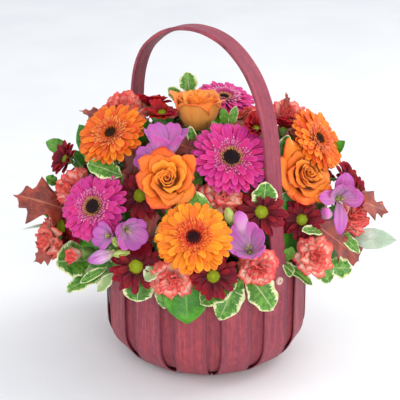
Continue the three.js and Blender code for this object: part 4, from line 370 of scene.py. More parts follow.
    def build(self, name, mats):
        V = np.concatenate(self.v) * MM; A = np.concatenate(self.a)
        F4 = np.concatenate(self.f4) if self.f4 else np.zeros((0, 4), int)
        F3 = np.concatenate(self.f3) if self.f3 else np.zeros((0, 3), int)
        me = bpy.data.meshes.new(name)
        me.vertices.add(len(V)); me.vertices.foreach_set("co", V.astype(np.float32).ravel())
        nl = len(F4) * 4 + len(F3) * 3
        me.loops.add(nl); me.loops.foreach_set("vertex_index", np.concatenate([F4.ravel(), F3.ravel()]).astype(np.int32))
        me.polygons.add(len(F4) + len(F3))
        start = np.concatenate([np.arange(len(F4)) * 4, len(F4) * 4 + np.arange(len(F3)) * 3]).astype(np.int32)
        me.polygons.foreach_set("loop_start", start)
        mi = np.concatenate(([np.concatenate(self.m4)] if self.m4 else []) + ([np.concatenate(self.m3)] if self.m3 else [])).astype(np.int32)
        sm = np.concatenate(([np.concatenate(self.s4)] if self.s4 else []) + ([np.ones(len(F3), bool)] if len(F3) else []))
        me.polygons.foreach_set("material_index", mi); me.polygons.foreach_set("use_smooth", sm)
        at = me.attributes.new("pa", "FLOAT_COLOR", "POINT"); at.data.foreach_set("color", A.astype(np.float32).ravel())
        for m in mats:
            me.materials.append(m)
        me.update(calc_edges=True); me.validate()
        ob = bpy.data.objects.new(name, me); bpy.context.scene.collection.objects.link(ob)
        return ob


REST = {  # height of each flower's underside against distance from its axis, in radii
  "gerbera": ([0, .9, 1.1], [-.16, -.14, -.12]), "freesia": ([0, .3, .6, .85, 1.1], [-.5, -.44, -.24, -.06, 0.0]), "goblet": ([0, .3, .6, .85, 1.1], [-.6, -.55, -.4, -.12, .1]),
  "rose": ([0, .6, .9, 1.15], [-.5, -.5, -.46, -.4]), "carn": ([0, .7, 1.1], [-.62, -.56, -.5]), "mum": ([0, 1, 1.1], [-.16, -.14, -.12]),
}


def yield_to(P, over, reach):
    """moves points that would cross one of the given flowers to just behind it"""
    for q, n, R, kind in over:
        d = P - q; ax = d @ n; lat = np.linalg.norm(d - ax[..., None] * n, axis=-1) / R
        h = np.interp(lat, *REST[kind]) * R - 1.3
        w = 1 - smooth01((lat - reach[0]) / reach[1])
        P = P - (np.clip(ax - h, 0, 30) * w * (ax < (26 if reach[0] > 1 else 1)))[..., None] * n
    return P


def unit(v):
    v = np.asarray(v, float); return v / max(np.linalg.norm(v), 1e-12)
def frame_of(n, spin=0.0):
    """rows: two axes across and the face direction n"""
    n = unit(n); ref = np.array([0, 0, 1.0]) if abs(n[2]) < 0.92 else np.array([0, 1.0, 0])
    u = unit(np.cross(ref, n)); w = np.cross(n, u)
    c, s = math.cos(spin), math.sin(spin)
    return np.stack([c * u + s * w, -s * u + c * w, n])
def rotz(P, a):
    c, s = math.cos(a), math.sin(a)
    return np.stack([P[..., 0] * c - P[..., 1] * s, P[..., 0] * s + P[..., 1] * c, P[..., 2]], -1)
def smooth01(x):
    x = np.clip(x, 0, 1); return x * x * (3 - 2 * x)


def petal(L, W, nu, nv, prof, th0, th1, bp=1.0, cup=0.0, cupt=None, tden=1.25, roll=0.0):
    """one petal: base at the origin, growing along +X, upper side +Z; returns points and (t, s)"""
    u = np.linspace(0, 1, nu); t = 1 - (1 - u) ** tden; s = np.linspace(-1, 1, nv)
    th = np.radians(th0 + (th1 - th0) * t ** bp)
    dt = np.diff(t) * L; cm = np.cos((th[1:] + th[:-1]) / 2); sm = np.sin((th[1:] + th[:-1]) / 2)
    x = np.concatenate([[0], np.cumsum(cm * dt)]); z = np.concatenate([[0], np.cumsum(sm * dt)])
    w = W / 2 * np.interp(t, prof[0], prof[1])
    c = cup * (np.ones(nu) if cupt is None else np.interp(t, cupt[0], cupt[1]))
    c = np.where(np.abs(c) < 1e-3, 1e-3, c)[:, None]
    S = s[None, :]
    y = w[:, None] * np.sin(c * S) / c; h = w[:, None] * (1 - np.cos(c * S)) / c
    X = x[:, None] - np.sin(th)[:, None] * h; Z = z[:, None] + np.cos(th)[:, None] * h; Y = y
    P = np.stack([X, Y, Z], 2)
    if roll:
        cr, sr = math.cos(roll), math.sin(roll)
        P = np.stack([P[..., 0], P[..., 1] * cr - P[..., 2] * sr, P[..., 1] * sr + P[..., 2] * cr], 2)
    T, SS = np.meshgrid(t, s, indexing="ij")
    return P, T, SS


def attr(T, S, rnd, tone):
    return np.stack([T, S * 0.5 + 0.5, np.full_like(T, rnd), np.full_like(T, tone)], 2)


# ------------------------------------------------------------------ flowers
def head_random(p, salt=0):
    return np.random.RandomState((int(abs(p[0]) * 7 + abs(p[1]) * 131 + abs(p[2]) * 17) + salt * 977) % 99991)


def sepals(buf, p, B, n, r, length, mat, rng, out=0.5, z0=0.0, w=0.5):
    for k in range(n):
        P, T, S = petal(length, length * w, 6, 5, ([0, .3, .7, 1], [.75, 1, .7, .08]), 60 - 60 * out, 40 - 80 * out, cup=.6)
        P[..., 0] += r
        P = rotz(P, TAU * k / n + rng.uniform(-.1, .1)); P[..., 2] += z0
        buf.sheet(p + P @ B, attr(T, S, rng.rand(), 1), .5, mat)


RAY_FORM = ([0, .1, .3, .55, .8, .91, .965, 1], [.36, .46, .70, .94, 1, .86, .62, .26])


def gerbera(buf, p, n, R, rng, spin, wide=1.0, eye=.185, lift=0.0, mats=(0, 1, 2, 3)):
    """layered narrow rays, three rows of short pale-tipped florets, a ring of tan stamens and a dark beaded eye"""
    p = np.asarray(p, float); B = frame_of(n, spin)
    k = R / 38.0
    # rays: the lowest row is the longest and lies flattest
    rows = ((27, R * .80, 8.2 * k * wide, 2, -6, -2.9, .19), (26, R * .775, 7.8 * k * wide, 6, -3, -1.8, .18), (22, R * .66, 6.9 * k * wide, 12, 1, -.8, .17), (12, R * .5, 5.8 * k, 18, 4, -.2, .17))
    for layer, (cnt, L, W, e0, e1, z, r0) in enumerate(rows):
        off = rng.uniform(0, TAU)
        for i in range(cnt):
            a = off + TAU * (i + rng.uniform(-.26, .26)) / cnt
            l = L * rng.uniform(.92, 1.03); w = W * rng.uniform(.88, 1.1)
            P, T, S = petal(l, w, 10, 7, RAY_FORM, e0 + lift + rng.uniform(-5, 6), e1 + lift + rng.uniform(-10, 11), cup=rng.uniform(.45, .85), roll=rng.uniform(-.24, .24))
            # two creases along the ray and a nicked tip
            P[..., 2] += .30 * k * np.cos(S * 3 * math.pi) * smooth01(T * 3)
            P[..., 0] -= np.where(T > .985, (np.abs(S) < .2) * .75 * k, 0)
            P[..., 1] += rng.uniform(-1.0, 1.0) * T ** 2
            P[..., 0] += R * r0; P[..., 2] += z + rng.uniform(-.35, .35)
            buf.sheet(p + rotz(P, a) @ B, attr(T, S, rng.rand(), 1 - .1 * layer), .42, mats[0])
    # rows of short florets round the eye
    f0 = eye * 1.5
    for cnt, L, W, e0, e1, z, r0, tone in ((42, R * (.525 - f0), 2.7 * k, 20, 14, .1, f0 + .008, 1.0), (40, R * (.455 - f0), 2.4 * k, 28, 22, .6, f0, .75), (38, R * (.395 - f0), 2.2 * k, 38, 32, 1.0, f0 - .006, .4)):
        off = rng.uniform(0, TAU)
        for i in range(cnt):
            a = off + TAU * (i + rng.uniform(-.3, .3)) / cnt
            P, T, S = petal(L * rng.uniform(.86, 1.1), W * rng.uniform(.8, 1.1), 6, 3, ([0, .3, .7, .9, 1], [.5, .9, 1, .7, .15]), e0 + rng.uniform(-8, 8), e1 + rng.uniform(-12, 20), cup=.9)
            P[..., 0] += R * r0; P[..., 2] += z
            buf.sheet(p + rotz(P, a) @ B, attr(T, S, rng.rand(), tone), .32, mats[1])
    # domed eye, beaded, with a ring of taller stamens
    re = R * eye
    buf.lathe([(0, -6), (re * 1.3, -5), (re * 1.5, -1), (re * 1.4, .4), (re * 1.05, 1.5), (re * .8, 1.9), (re * .4, 2.2), (0, 2.1)], 24, p, B, A=(.2, 1), mat=mats[2])
    C, N, RR, HH, rn = [], [], [], [], []
    m = 150
    for i in range(m):
        q = math.sqrt((i + .5) / m); a = i * 2.39996
        r = re * q; z = 1.7 + .45 * math.cos(q * 2.2)
        C.append([r * math.cos(a), r * math.sin(a), z]); N.append([.45 * q * math.cos(a), .45 * q * math.sin(a), 1])
        RR.append(.40 * k * rng.uniform(.85, 1.15)); HH.append(.95 * k * rng.uniform(.7, 1.3)); rn.append(q * .62)
    for ring, (cnt, rr, hh) in enumerate(((26, 1.10, 2.8), (30, 1.28, 3.1), (34, 1.46, 2.8))):
        for i in range(cnt):
            a = TAU * (i + .5 * ring + rng.uniform(-.3, .3)) / cnt; r = re * rr * rng.uniform(.97, 1.03)
            C.append([r * math.cos(a), r * math.sin(a), .9]); N.append([.5 * math.cos(a) + rng.uniform(-.2, .2), .5 * math.sin(a) + rng.uniform(-.2, .2), 1])
            RR.append(.56 * k * (eye / .185) ** .5); HH.append(hh * k * rng.uniform(.75, 1.2)); rn.append(.78 + .08 * ring + rng.uniform(-.04, .04))
    buf.bumps(p + np.array(C) @ B, np.array(N) @ B, np.array(RR), np.array(HH), mat=mats[2], rnd=rn, tone=1.0)
    # green cup of scales behind
    buf.lathe([(0, -15.5), (2.2, -15.2), (2.8, -13), (5.5 * k, -10), (8.2 * k, -6.5), (9.4 * k, -3.4), (4, -2.8), (0, -2.8)], 18, p, B, mat=mats[3])
    for lay in range(2):
        for i in range(15):
            P, T, S = petal(10 * k, 2.6 * k, 5, 3, ([0, .4, 1], [1, .8, .05]), 62 - 16 * lay, 20 - 14 * lay, cup=.6)
            P[..., 0] += 4.2 * k; P[..., 2] -= 11.4 * k - lay * 1.4
            buf.sheet(p + rotz(P, TAU * (i + .5 * lay) / 15) @ B, attr(T, S, rng.rand(), 1), .35, mats[3])


ROSE_T = [0, .2, .45, .7, .86, 1]


def rose_petal(buf, p, B, a, half, pr, ph, rng, mat, tone, tilt=0.0, wave=.6, nu=13, nv=13, point=.05, round_=.15, th=.34, roll=0.0, lean=0.0):
    """one rose petal wrapped round the axis, following a side profile of radii and heights; its lip curls back to a soft point"""
    t = np.linspace(0, 1, nu); s = np.linspace(-1, 1, nv); T, S = np.meshgrid(t, s, indexing="ij")
    e = np.abs(S - lean * .35); Q = T * (1 - round_ * e ** 2.2 + point * np.exp(-((S - lean) / .24) ** 2) * T ** 3)
    r = (np.interp(Q - .045, ROSE_T, pr) + 2 * np.interp(Q, ROSE_T, pr) + np.interp(Q + .045, ROSE_T, pr)) / 4
    h = (np.interp(Q - .045, ROSE_T, ph) + 2 * np.interp(Q, ROSE_T, ph) + np.interp(Q + .045, ROSE_T, ph)) / 4
    w = np.interp(T, [0, .12, .4, .72, .9, 1], [.34, .56, .90, 1, .90, .70])
    ang = a + half * w * S
    lip = smooth01((T - .5) / .5); f1, f2, f3 = rng.uniform(0, TAU, 3)
    curl = smooth01((T - .66) / .34) * roll * (.35 + 1.5 * np.minimum(e, 1.1) ** 2.2)
    r = r + wave * (.6 * np.sin(S * 4.2 + f1) + .4 * np.sin(S * 8.3 + f2) + .18 * np.sin(S * 15 + f3)) * lip + curl + tilt * S * (.35 + .65 * T)
    h = h + wave * (.6 * np.sin(S * 3.4 + f2) + .3 * np.sin(S * 7.7 + f3)) * lip - abs(curl) * .62
    P = np.stack([r * np.cos(ang), r * np.sin(ang), h], 2)
    buf.sheet(p + P @ B, attr(T, S, rng.rand(), tone), th, mat)


def rose(buf, p, n, R, rng, spin, form="open", extra=None, mats=(0, 1)):
    p = np.asarray(p, float); B = frame_of(n, spin)
    k = R / 30.0
    sc = lambda v: [x * k for x in v]
    a = rng.uniform(0, TAU)
    top = 0.0 if form == "open" else 3.6
    # tight curl in the middle, its petals pressed out of round
    ox, oy = rng.uniform(-1.0, 1.0, 2) * k
    pc = p + np.array([ox, oy, 0]) @ B
    for i in range(9):
        q = i / 9; rr = (1.2 + 7.4 * q) * rng.uniform(.92, 1.08)
        rose_petal(buf, pc, B, a, 2.2 - 1.2 * q, sc([rr * .8, rr * .95, rr, rr, rr * 1.03 + .2, rr * 1.08 + .8 + .8 * q]), sc([-24, -18, -12, -6, -2, 1.9 - 2.2 * q + rng.uniform(-.9, .7) + top]), rng, mats[0], .02 + .25 * q,
                   tilt=(.8 + 1.0 * q) * k, nu=8, nv=13, wave=(.5 + .5 * q) * k, point=.03, round_=.08, roll=.35 * k * q)
        a += 2.15 + rng.uniform(-.4, .4)
    # inner cup, lips turned out a little
    for i in range(6):
        q = i / 6; rr = (9.4 + 3.0 * q) * rng.uniform(.95, 1.07)
        rose_petal(buf, p, B, a, rng.uniform(.8, 1.05), sc([3, rr * .8, rr, rr * 1.05, rr * 1.14 + .6, rr * 1.30 + 2.0]), sc([-30, -23, -14, -6.5, -2.6 - q, -1.2 - 1.6 * q + rng.uniform(-.8, .8) + top]), rng, mats[0], .3 + .25 * q,
                   tilt=rng.uniform(1.2, 2.6) * k, nu=11, nv=13, wave=1.1 * k, roll=rng.uniform(.4, 1.3) * k, point=.07, lean=rng.uniform(-.4, .4))
        a += 2.42 + rng.uniform(-.3, .3)
    if form == "open":
        rings = (([4, 10, 14.6, 17, 20.2, 23.6], [-32, -26, -16, -7.4, -4.3, -4.8], .80, .62, 1.8, 5), ([4, 11, 17.0, 20.4, 24.8, 30.6], [-33, -28.5, -20, -11, -8.0, -9.6], .74, 1.0, 2.6, 5))
    else:
        rings = (([4, 11, 16, 18, 19.6, 22.6], [-38, -31, -20, -9, -2.4, -.6], .98, .6, 1.4, 4), ([4, 12.5, 19.4, 22.0, 23.2, 27.6], [-42, -35.5, -23, -10, -3.4, -2.0], .98, 1.0, 2.2, 4))
    for pr, ph, half, tone, roll, m in rings:
        a += math.pi / m
        for i in range(m):
            j = rng.uniform(.94, 1.06); dz = rng.uniform(-1.3, 1.5)
            rose_petal(buf, p, B, a, half * rng.uniform(.9, 1.1), sc([v * j for v in pr]), sc([v + (rng.uniform(-.5, .5) + dz * (x / 5)) * (x > 2) for x, v in enumerate(ph)]), rng, mats[0], tone,
                       tilt=rng.uniform(1.0, 2.8) * k, nu=15, nv=19, wave=1.25 * k, point=rng.uniform(.07, .15), round_=.22, roll=roll * k * rng.uniform(.5, 1.4), lean=rng.uniform(-.45, .45))
            a += TAU / m + rng.uniform(-.2, .2)
    for ex in (extra or ()):
        rose_petal(buf, p, B, ex[0], ex[1], sc(ex[2]), sc(ex[3]), rng, mats[0], ex[4], nu=16, nv=21, wave=.9 * k, point=ex[5], round_=.24, roll=ex[6] * k, lean=ex[7] if len(ex) > 7 else 0.0)
    # hip and sepals
    buf.lathe([(0, -43.2), (2.6, -42.6), (5.2 * k, -40.8), (7.0 * k, -38), (8.4 * k, -34.5), (7, -31.5), (0, -30.5)], 16, p, B, mat=mats[1])
    for i in range(5):
        P, T, S = petal(18 * k, 6.5 * k, 9, 5, ([0, .25, .6, .85, 1], [.8, 1, .55, .25, .05]), 26, -30 - 50 * rng.uniform(0, 1), cup=.5)
        P[..., 0] += 7 * k; P[..., 2] -= 36.5
        buf.sheet(p + rotz(P, TAU * i / 5) @ B, attr(T, S, rng.rand(), 1), .5, mats[1])


def carnation(buf, p, n, R, rng, spin, bud=False, mats=(0, 1)):
    """a dome of frilled, saw-edged petals standing out of a tube of green"""
    p = np.asarray(p, float); B = frame_of(n, spin)
    k = R / 20.0; jit = .35 if bud else 1.0
    if bud:
        buf.lathe([(0, -15), (2.0, -14.6), (4.0 * k * 1.6, -12), (5.4 * k * 1.6, -6), (5.2 * k * 1.6, -1), (4.4 * k * 1.6, 1.2), (0, .5)], 14, p, B, mat=mats[1])
        sepals(buf, p, B, 5, 4.8 * k * 1.6, 5.5, mats[1], rng, out=.12, z0=-2.5, w=.7)
        layers = ((6, 15.5, 13, 76, 60, -6, .9, 1.0), (5, 16.5, 11.5, 84, 76, -6, .5, 1.0), (4, 15.5, 10, 88, 84, -5, .2, 1.0))
    else:
        buf.lathe([(0, -28.6), (2.4, -28.2), (4.4 * k, -26), (5.6 * k, -20), (6.2 * k, -12), (7.0 * k, -9), (5.5 * k, -7.4), (0, -7)], 14, p, B, mat=mats[1])
        sepals(buf, p, B, 5, 6.0 * k, 7 * k, mats[1], rng, out=.45, z0=-12.5, w=.75)
        layers = ((6, 22.5, 23, 30, -14, -9.5, 1.0, .95), (6, 20.5, 21, 46, 0, -9, .9, 1.05), (5, 18.5, 18.5, 60, 24, -8.5, .65, 1.3), (5, 17.0, 15.5, 72, 48, -8, .4, 1.4), (5, 15.5, 12.5, 84, 70, -7.6, .1, 1.25))
    for li, (cnt, L, W, e0, e1, z, tone, frill) in enumerate(layers):
        off = rng.uniform(0, TAU)
        for i in range(cnt):
            l = L * k * rng.uniform(.88, 1.06); w = W * k * rng.uniform(.85, 1.1)
            if bud:
                l, w = l * 1.6, w * 1.6
            nu, nv = 9, 15
            P, T, S = petal(l, w, nu, nv, ([0, .3, .5, .72, .9, 1], [.12, .26, .56, .88, 1.0, 1.0]), e0 + jit * rng.uniform(-11, 10), e1 + jit * rng.uniform(-22, 16), bp=1.6, cup=.3, tden=1.1, roll=jit * rng.uniform(-.35, .35))
            # fan the tip into an arc, cut saw teeth, and frill it
            P[..., 0] -= (S ** 2) * .22 * l * smooth01((T - .35) / .65)
            teeth = np.where(np.arange(nv) % 2 == 0, 0.0, 1.0)[None, :] * (T > .98)
            P[..., 0] += teeth * (.8 + .7 * rng.rand(nv)[None, :]) * k
            f1, f2, f3 = rng.uniform(0, TAU, 3); fr = smooth01((T - .42) / .58)
            amp = (2.4 + 1.9 * rng.rand()) * k * frill
            wave = np.sin(S * (3.8 + 1.8 * rng.rand()) + f1) + .38 * np.sin(S * 8.5 + f2)
            P[..., 2] += amp * fr * wave * .85
            P[..., 0] += amp * .45 * fr * np.cos(S * 5.2 + f3)
            P[..., 1] += amp * .25 * fr * np.sin(S * 7.0 + f1)
            P[..., 2] += z * k
            buf.sheet(p + rotz(P, off + TAU * (i + rng.uniform(-.42, .42)) / cnt) @ B, attr(T, S, rng.rand(), tone), .36, mats[0])


def mum(buf, p, n, R, rng, spin, closed=0.0, mats=(0, 1, 2)):
    """single spray chrysanthemum: spoon shaped rays round a green beaded dome"""
    p = np.asarray(p, float); B = frame_of(n, spin)
    k = R / 25.0
    for layer, (cnt, L, e0, e1, z) in enumerate(((13, 20.2, 2, -9, -1.9), (13, 18.8, 11, -3, -.9), (8, 13.5, 24, 4, -.1))):
        off = rng.uniform(0, TAU)
        for i in range(cnt):
            c = closed * rng.uniform(.75, 1.2)
            l = L * k * rng.uniform(.84, 1.05); w = ((8.3, 7.8, 5.6)[layer] + 1.4 * closed) * k * rng.uniform(.85, 1.12)
            P, T, S = petal(l, w, 10, 7, ([0, .18, .45, .7, .86, .95, 1], [.34, .50, .84, 1, .84, .52, .14]), e0 + c * 52 + rng.uniform(-6, 7), e1 + c * 34 + rng.uniform(-15, 14), cup=rng.uniform(.45, 1.0), cupt=([0, .4, .8, 1], [1.2, .9, 1.1, 1.6]), roll=rng.uniform(-.28, .28))
            P[..., 2] += .26 * k * np.cos(S * 3 * math.pi) * smooth01(T * 3)
            P[..., 1] += rng.uniform(-1.4, 1.4) * T ** 2 * k
            P[..., 0] += 4.6 * k; P[..., 2] += z * k + rng.uniform(-.4, .4)
            buf.sheet(p + rotz(P, off + TAU * (i + rng.uniform(-.28, .28)) / cnt) @ B, attr(T, S, rng.rand(), .7 + .15 * layer), .4, mats[0])
    re = 6.1 * k; hz = 2.3 * k
    buf.lathe([(0, -4.5), (re * .7, -4), (re * .98, -1.4), (re * .96, .3), (re * .8, hz * .55), (re * .5, hz * .86), (re * .2, hz * .93), (0, hz * .9)], 20, p, B, A=(.5, 1), mat=mats[1])
    C, N, RR, HH, rn = [], [], [], [], []
    m = 170
    for i in range(m):
        q = math.sqrt((i + .5) / m); a = i * 2.39996
        r = re * 1.03 * q; z = hz * (1 - q ** 2.6) * .95 - .45 * math.exp(-(q / .25) ** 2)
        C.append([r * math.cos(a), r * math.sin(a), z]); N.append([1.1 * q ** 1.5 * math.cos(a), 1.1 * q ** 1.5 * math.sin(a), 1])
        RR.append(.34 * k * rng.uniform(.8, 1.15) * (.75 + .4 * q)); HH.append(.95 * k * rng.uniform(.6, 1.3)); rn.append(q)
    buf.bumps(p + np.array(C) @ B, np.array(N) @ B, np.array(RR), np.array(HH), mat=mats[1], rnd=rn)
    buf.lathe([(0, -9.2), (1.8, -9), (2.6 * k, -7.6), (5.0 * k, -5.2), (6.2 * k, -2.6), (4, -1.8), (0, -1.8)], 14, p, B, mat=mats[2])


def freesia(buf, p, n, R, rng, spin, cup=0.0, rise=0.0, broad=1.0, tip=2.9, wild=.14, plan=(), mats=(0, 1)):
    """six broad tepals opening from a funnel; cup 1 is a half-open goblet, 0 an open star"""
    p = np.asarray(p, float) + rise * unit(n); B = frame_of(n, spin)
    if plan:
        nn = unit(n); ax = unit(np.array([1.0, 0, 0]) - nn[0] * nn); B = np.stack([ax, np.cross(nn, ax), nn])
    k = R / 20.0
    t6 = [0, .2, .42, .6, .76, .89, 1]
    for i in range(6):
        inner = i % 2
        nu, nv = 15, 9
        u = np.linspace(0, 1, nu); t = 1 - (1 - u) ** 1.08; s = np.linspace(-1, 1, nv); T, S = np.meshgrid(t, s, indexing="ij")
        opening = rng.uniform(.9, 1.1); c = min(max(cup + rng.uniform(-wild, wild), 0), 1); turn = TAU * i / 6 + rng.uniform(-.08, .08); size = wide = 1.0
        if plan:
            turn, c, size, wide = math.radians(plan[i][0]), plan[i][1], plan[i][2], plan[i][3]
        r = ((1 - c) * np.interp(t, t6, [.9, 1.8, 4.4, 8.4, 13.6, 17.4, 20.2]) + c * np.interp(t, t6, [.9, 2.0, 6.0, 10.6, 14.0, 16.4, 18.2])) * k * (1 + (opening - 1) * t)
        h = ((1 - c) * np.interp(t, t6, [-26, -19.5, -10, -3.6, .8, 2.2, 1.6]) + c * np.interp(t, t6, [-26, -19.5, -10.5, -3.0, 5.0, 10.6, 14.6])) * k + inner * 1.1 * k * t
        w = np.interp(t, t6, [.9, 1.7, 4.4, 7.5, 8.8, 5.2 + .7 * tip, tip]) * k * (1.0 if inner else .92) * (1 + .22 * c) * broad * wide
        r = r * (1 + (size - 1) * t); h = h * (1 + (size - 1) * t * (h > 0))
        ang = np.clip(w / np.maximum(r, 1e-3), 0, .98)
        A = ang[:, None] * S; rr = r[:, None]
        f = rng.uniform(0, 6)
        lift = (.9 * k * (S ** 2) * T * (1 - .4 * T)) * (1 - c) + .45 * k * np.sin(S * 3.2 + f) * T ** 2
        X = rr * np.cos(A) - (1 - c) * 0.0; Y = rr * np.sin(A) * 1.06; Z = h[:, None] + lift
        X = X - .5 * k * np.exp(-(S / .18) ** 2) * T * (c > .5)
        Z = Z + .35 * k * np.exp(-(S / .18) ** 2) * T * (c <= .5)
        P = rotz(np.stack([X, Y, Z], 2), turn)
        buf.sheet(p + P @ B, attr(T, S, rng.rand(), inner), .45, mats[0])
    # stamens and style
    for i in range(4):
        a = TAU * i / 3 + .4; r = 2.2 * k if i < 3 else .3
        buf.tube(p + np.array([[r * .4 * math.cos(a), r * .4 * math.sin(a), -14 * k], [r * .9 * math.cos(a), r * .9 * math.sin(a), -7 * k], [r * 1.3 * math.cos(a), r * 1.3 * math.sin(a), -2.0 * k + (i == 3) * 2]]) @ B, [.4, .4, .7], 5, mats[1], .9)
    buf.lathe([(0, -27.2 * k), (1.6, -27 * k), (2.1 * k, -25 * k), (2.0 * k, -20 * k), (1.6 * k, -16 * k), (0, -15 * k)], 10, p, B, mat=mats[1])


def freesia_bud(buf, p, n, R, rng, green, mats=(0, 1)):
    p = np.asarray(p, float); B = frame_of(n, rng.uniform(0, TAU))
    w = (.40 if green else .44) * R
    wob = lambda T, H: 1 + .12 * np.cos(3 * T + H * .12)
    buf.lathe([(0, -1.4 * R), (w * .42, -1.33 * R), (w * .62, -1.0 * R), (w * .92, -.45 * R), (w, -.05 * R), (w * .86, .32 * R), (w * .5, .6 * R), (w * .2, .72 * R), (0, .76 * R)], 18, p, B, (rng.rand(), 1.0), mats[1] if green else mats[0], wob)
    for i in range(3):
        # wrapped tepals show as overlapping edges
        t = np.linspace(0, 1, 9); s = np.linspace(-1, 1, 7); T, S = np.meshgrid(t, s, indexing="ij")
        r = np.interp(T, [0, .25, .55, .8, 1], [w * .5, w * .98, w * 1.08, w * .74, w * .2]) + .35; hh = -1.05 * R + T * 1.80 * R
        A = (1.15 * np.interp(T, [0, .5, .85, 1], [.8, 1, .8, .3])) * S + TAU * i / 3
        P = np.stack([(r + .35 * S) * np.cos(A), (r + .35 * S) * np.sin(A), hh], 2)
        buf.sheet(p + P @ B, attr(T, S, rng.rand(), 1), .4, mats[1] if green else mats[0])
    for i in range(2):
        P, T, S = petal(.75 * R, .5 * R, 6, 5, ([0, .4, .8, 1], [.9, 1, .6, .1]), 84, 74, cup=1.3)
        P[..., 0] += w * .5; P[..., 2] -= 1.32 * R
        buf.sheet(p + rotz(P, math.pi * i + .4) @ B, attr(T, S, rng.rand(), 1), .4, mats[1])


# ------------------------------------------------------------------ leaves
LEAF_FORM = {
  "pitto": ([0, .06, .2, .4, .6, .78, .9, .96, 1], [.06, .24, .68, .98, 1, .80, .5, .28, .03], 19, 11),
  "oak": ([0, .07, .13, .2, .27, .31, .36, .42, .48, .56, .63, .67, .71, .76, .81, .86, .9, .95, 1],
          [.05, .12, .34, .66, .94, .80, .62, .54, .62, .84, 1.0, .74, .50, .36, .42, .50, .28, .13, .02], 39, 9),
  "salal": ([0, .05, .16, .34, .52, .7, .84, .93, 1], [.08, .34, .74, .98, 1, .84, .54, .27, .02], 21, 11),
}


def leaf(buf, kind, b, t, f, w, rng, mat, under_mat, u0=0.0, droop=0.0, grow=1.0, tone=1.0):
    b = np.asarray(b, float); t = np.asarray(t, float)
    a = t - b; L = np.linalg.norm(a) * grow; a = unit(a); side = unit(np.cross(f, a)); B = np.stack([a, side, np.cross(a, side)])
    pr, pw, nu, nv = LEAF_FORM[kind]
    e0 = {"pitto": 7, "oak": 10, "salal": 9}[kind] * rng.uniform(.5, 1.5)
    P, T, S = petal(L, w, nu, nv, (pr, pw), e0, -e0 * 1.2 - droop, cup={"pitto": .42, "oak": .38, "salal": .5}[kind] * rng.uniform(.6, 1.25), tden=1.0)
    ph = rng.uniform(0, TAU, 4); e = np.abs(S)
    if kind == "pitto":
        P[..., 2] += .052 * w * e ** 1.5 * np.sin(T * 17 + ph[0] + np.sign(S) * 1.3) * smooth01(T * 5) + .02 * w * e * np.sin(T * 31 + ph[1] + S)
        P[..., 1] *= 1 + .05 * np.sin(T * 19 + ph[2])
    elif kind == "oak":
        wl = np.interp(T, pr, pw)
        P[..., 0] += .10 * L * e ** 1.6 * wl - .05 * L * e ** 1.6
        P[..., 2] += .07 * w * e * np.sin(T * 9 + ph[0] + np.sign(S) * .8) + .03 * w * np.sin(T * 15 + ph[1]) * e - .05 * w * e ** 2 * wl
        P[..., 1] *= 1 + .07 * np.sin(T * 7 + ph[3] + np.sign(S))
    else:
        P[..., 2] += .035 * w * e ** 1.4 * np.sin(T * 11 + ph[0] + np.sign(S)) + .012 * w * np.abs(np.sin((T * 9 - e * 2.2) * math.pi)) * (1 - e)
    P[..., 2] -= .018 * w * np.exp(-(S / .13) ** 2) * (1 - T)
    if u0 > 0:
        k = max(int((nu - 1) * u0 * .8), 0)
        P, T, S = P[k:], T[k:], S[k:]
        P[:2, :, :] = P[:2, :, :].mean(axis=1, keepdims=True) + (P[:2, :, :] - P[:2, :, :].mean(axis=1, keepdims=True)) * np.array([.25, .7])[:, None, None]
    buf.sheet(b + P @ B, attr(T, S, rng.rand(), tone), .5, mat, under_mat)
    # midrib on the underside
    m = P[:, nv // 2, :].copy(); m[:, 2] -= .42
    cut = max(3, int(len(m) * .86))
    buf.tube(b + m[:cut] @ B, np.linspace(.62, .22, cut) * (1.2 if w > 30 else .9), 5, under_mat, rng.rand())


# ------------------------------------------------------------------ basket
def azd(a):
    a = math.radians(a); return np.array([math.sin(a), -math.cos(a), 0.0])


def wall_path(inset, level, steps=26, full=0.0):
    a, b = BELLY_R - FOOT_R, BELLY_Z
    pts = []
    for i in range(steps + 1):
        t = math.pi / 2 * i / steps
        l = math.hypot(math.sin(t) / a, math.cos(t) / b)
        nr, nz = math.sin(t) / a / l, -math.cos(t) / b / l
        pts.append((FOOT_R + a * math.sin(t) - nr * inset, b * (1 - math.cos(t)) - nz * inset))
    for z in (50, 58, 66, 74, 82, 90, 98, 104, 110, 114, 116.6, RIM_Z):
        pts.append((BELLY_R - inset, float(z)))
    pts = [(r + full * float(smooth01((z - 12) / 42)), z) for r, z in pts]
    out = []
    for i, (r, z) in enumerate(pts):
        if z > level:
            if not out and i:
                r0, z0 = pts[i - 1]; k = (level - z0) / (z - z0); out.append((r0 + (r - r0) * k, level))
            out.append((r, z))
    return out


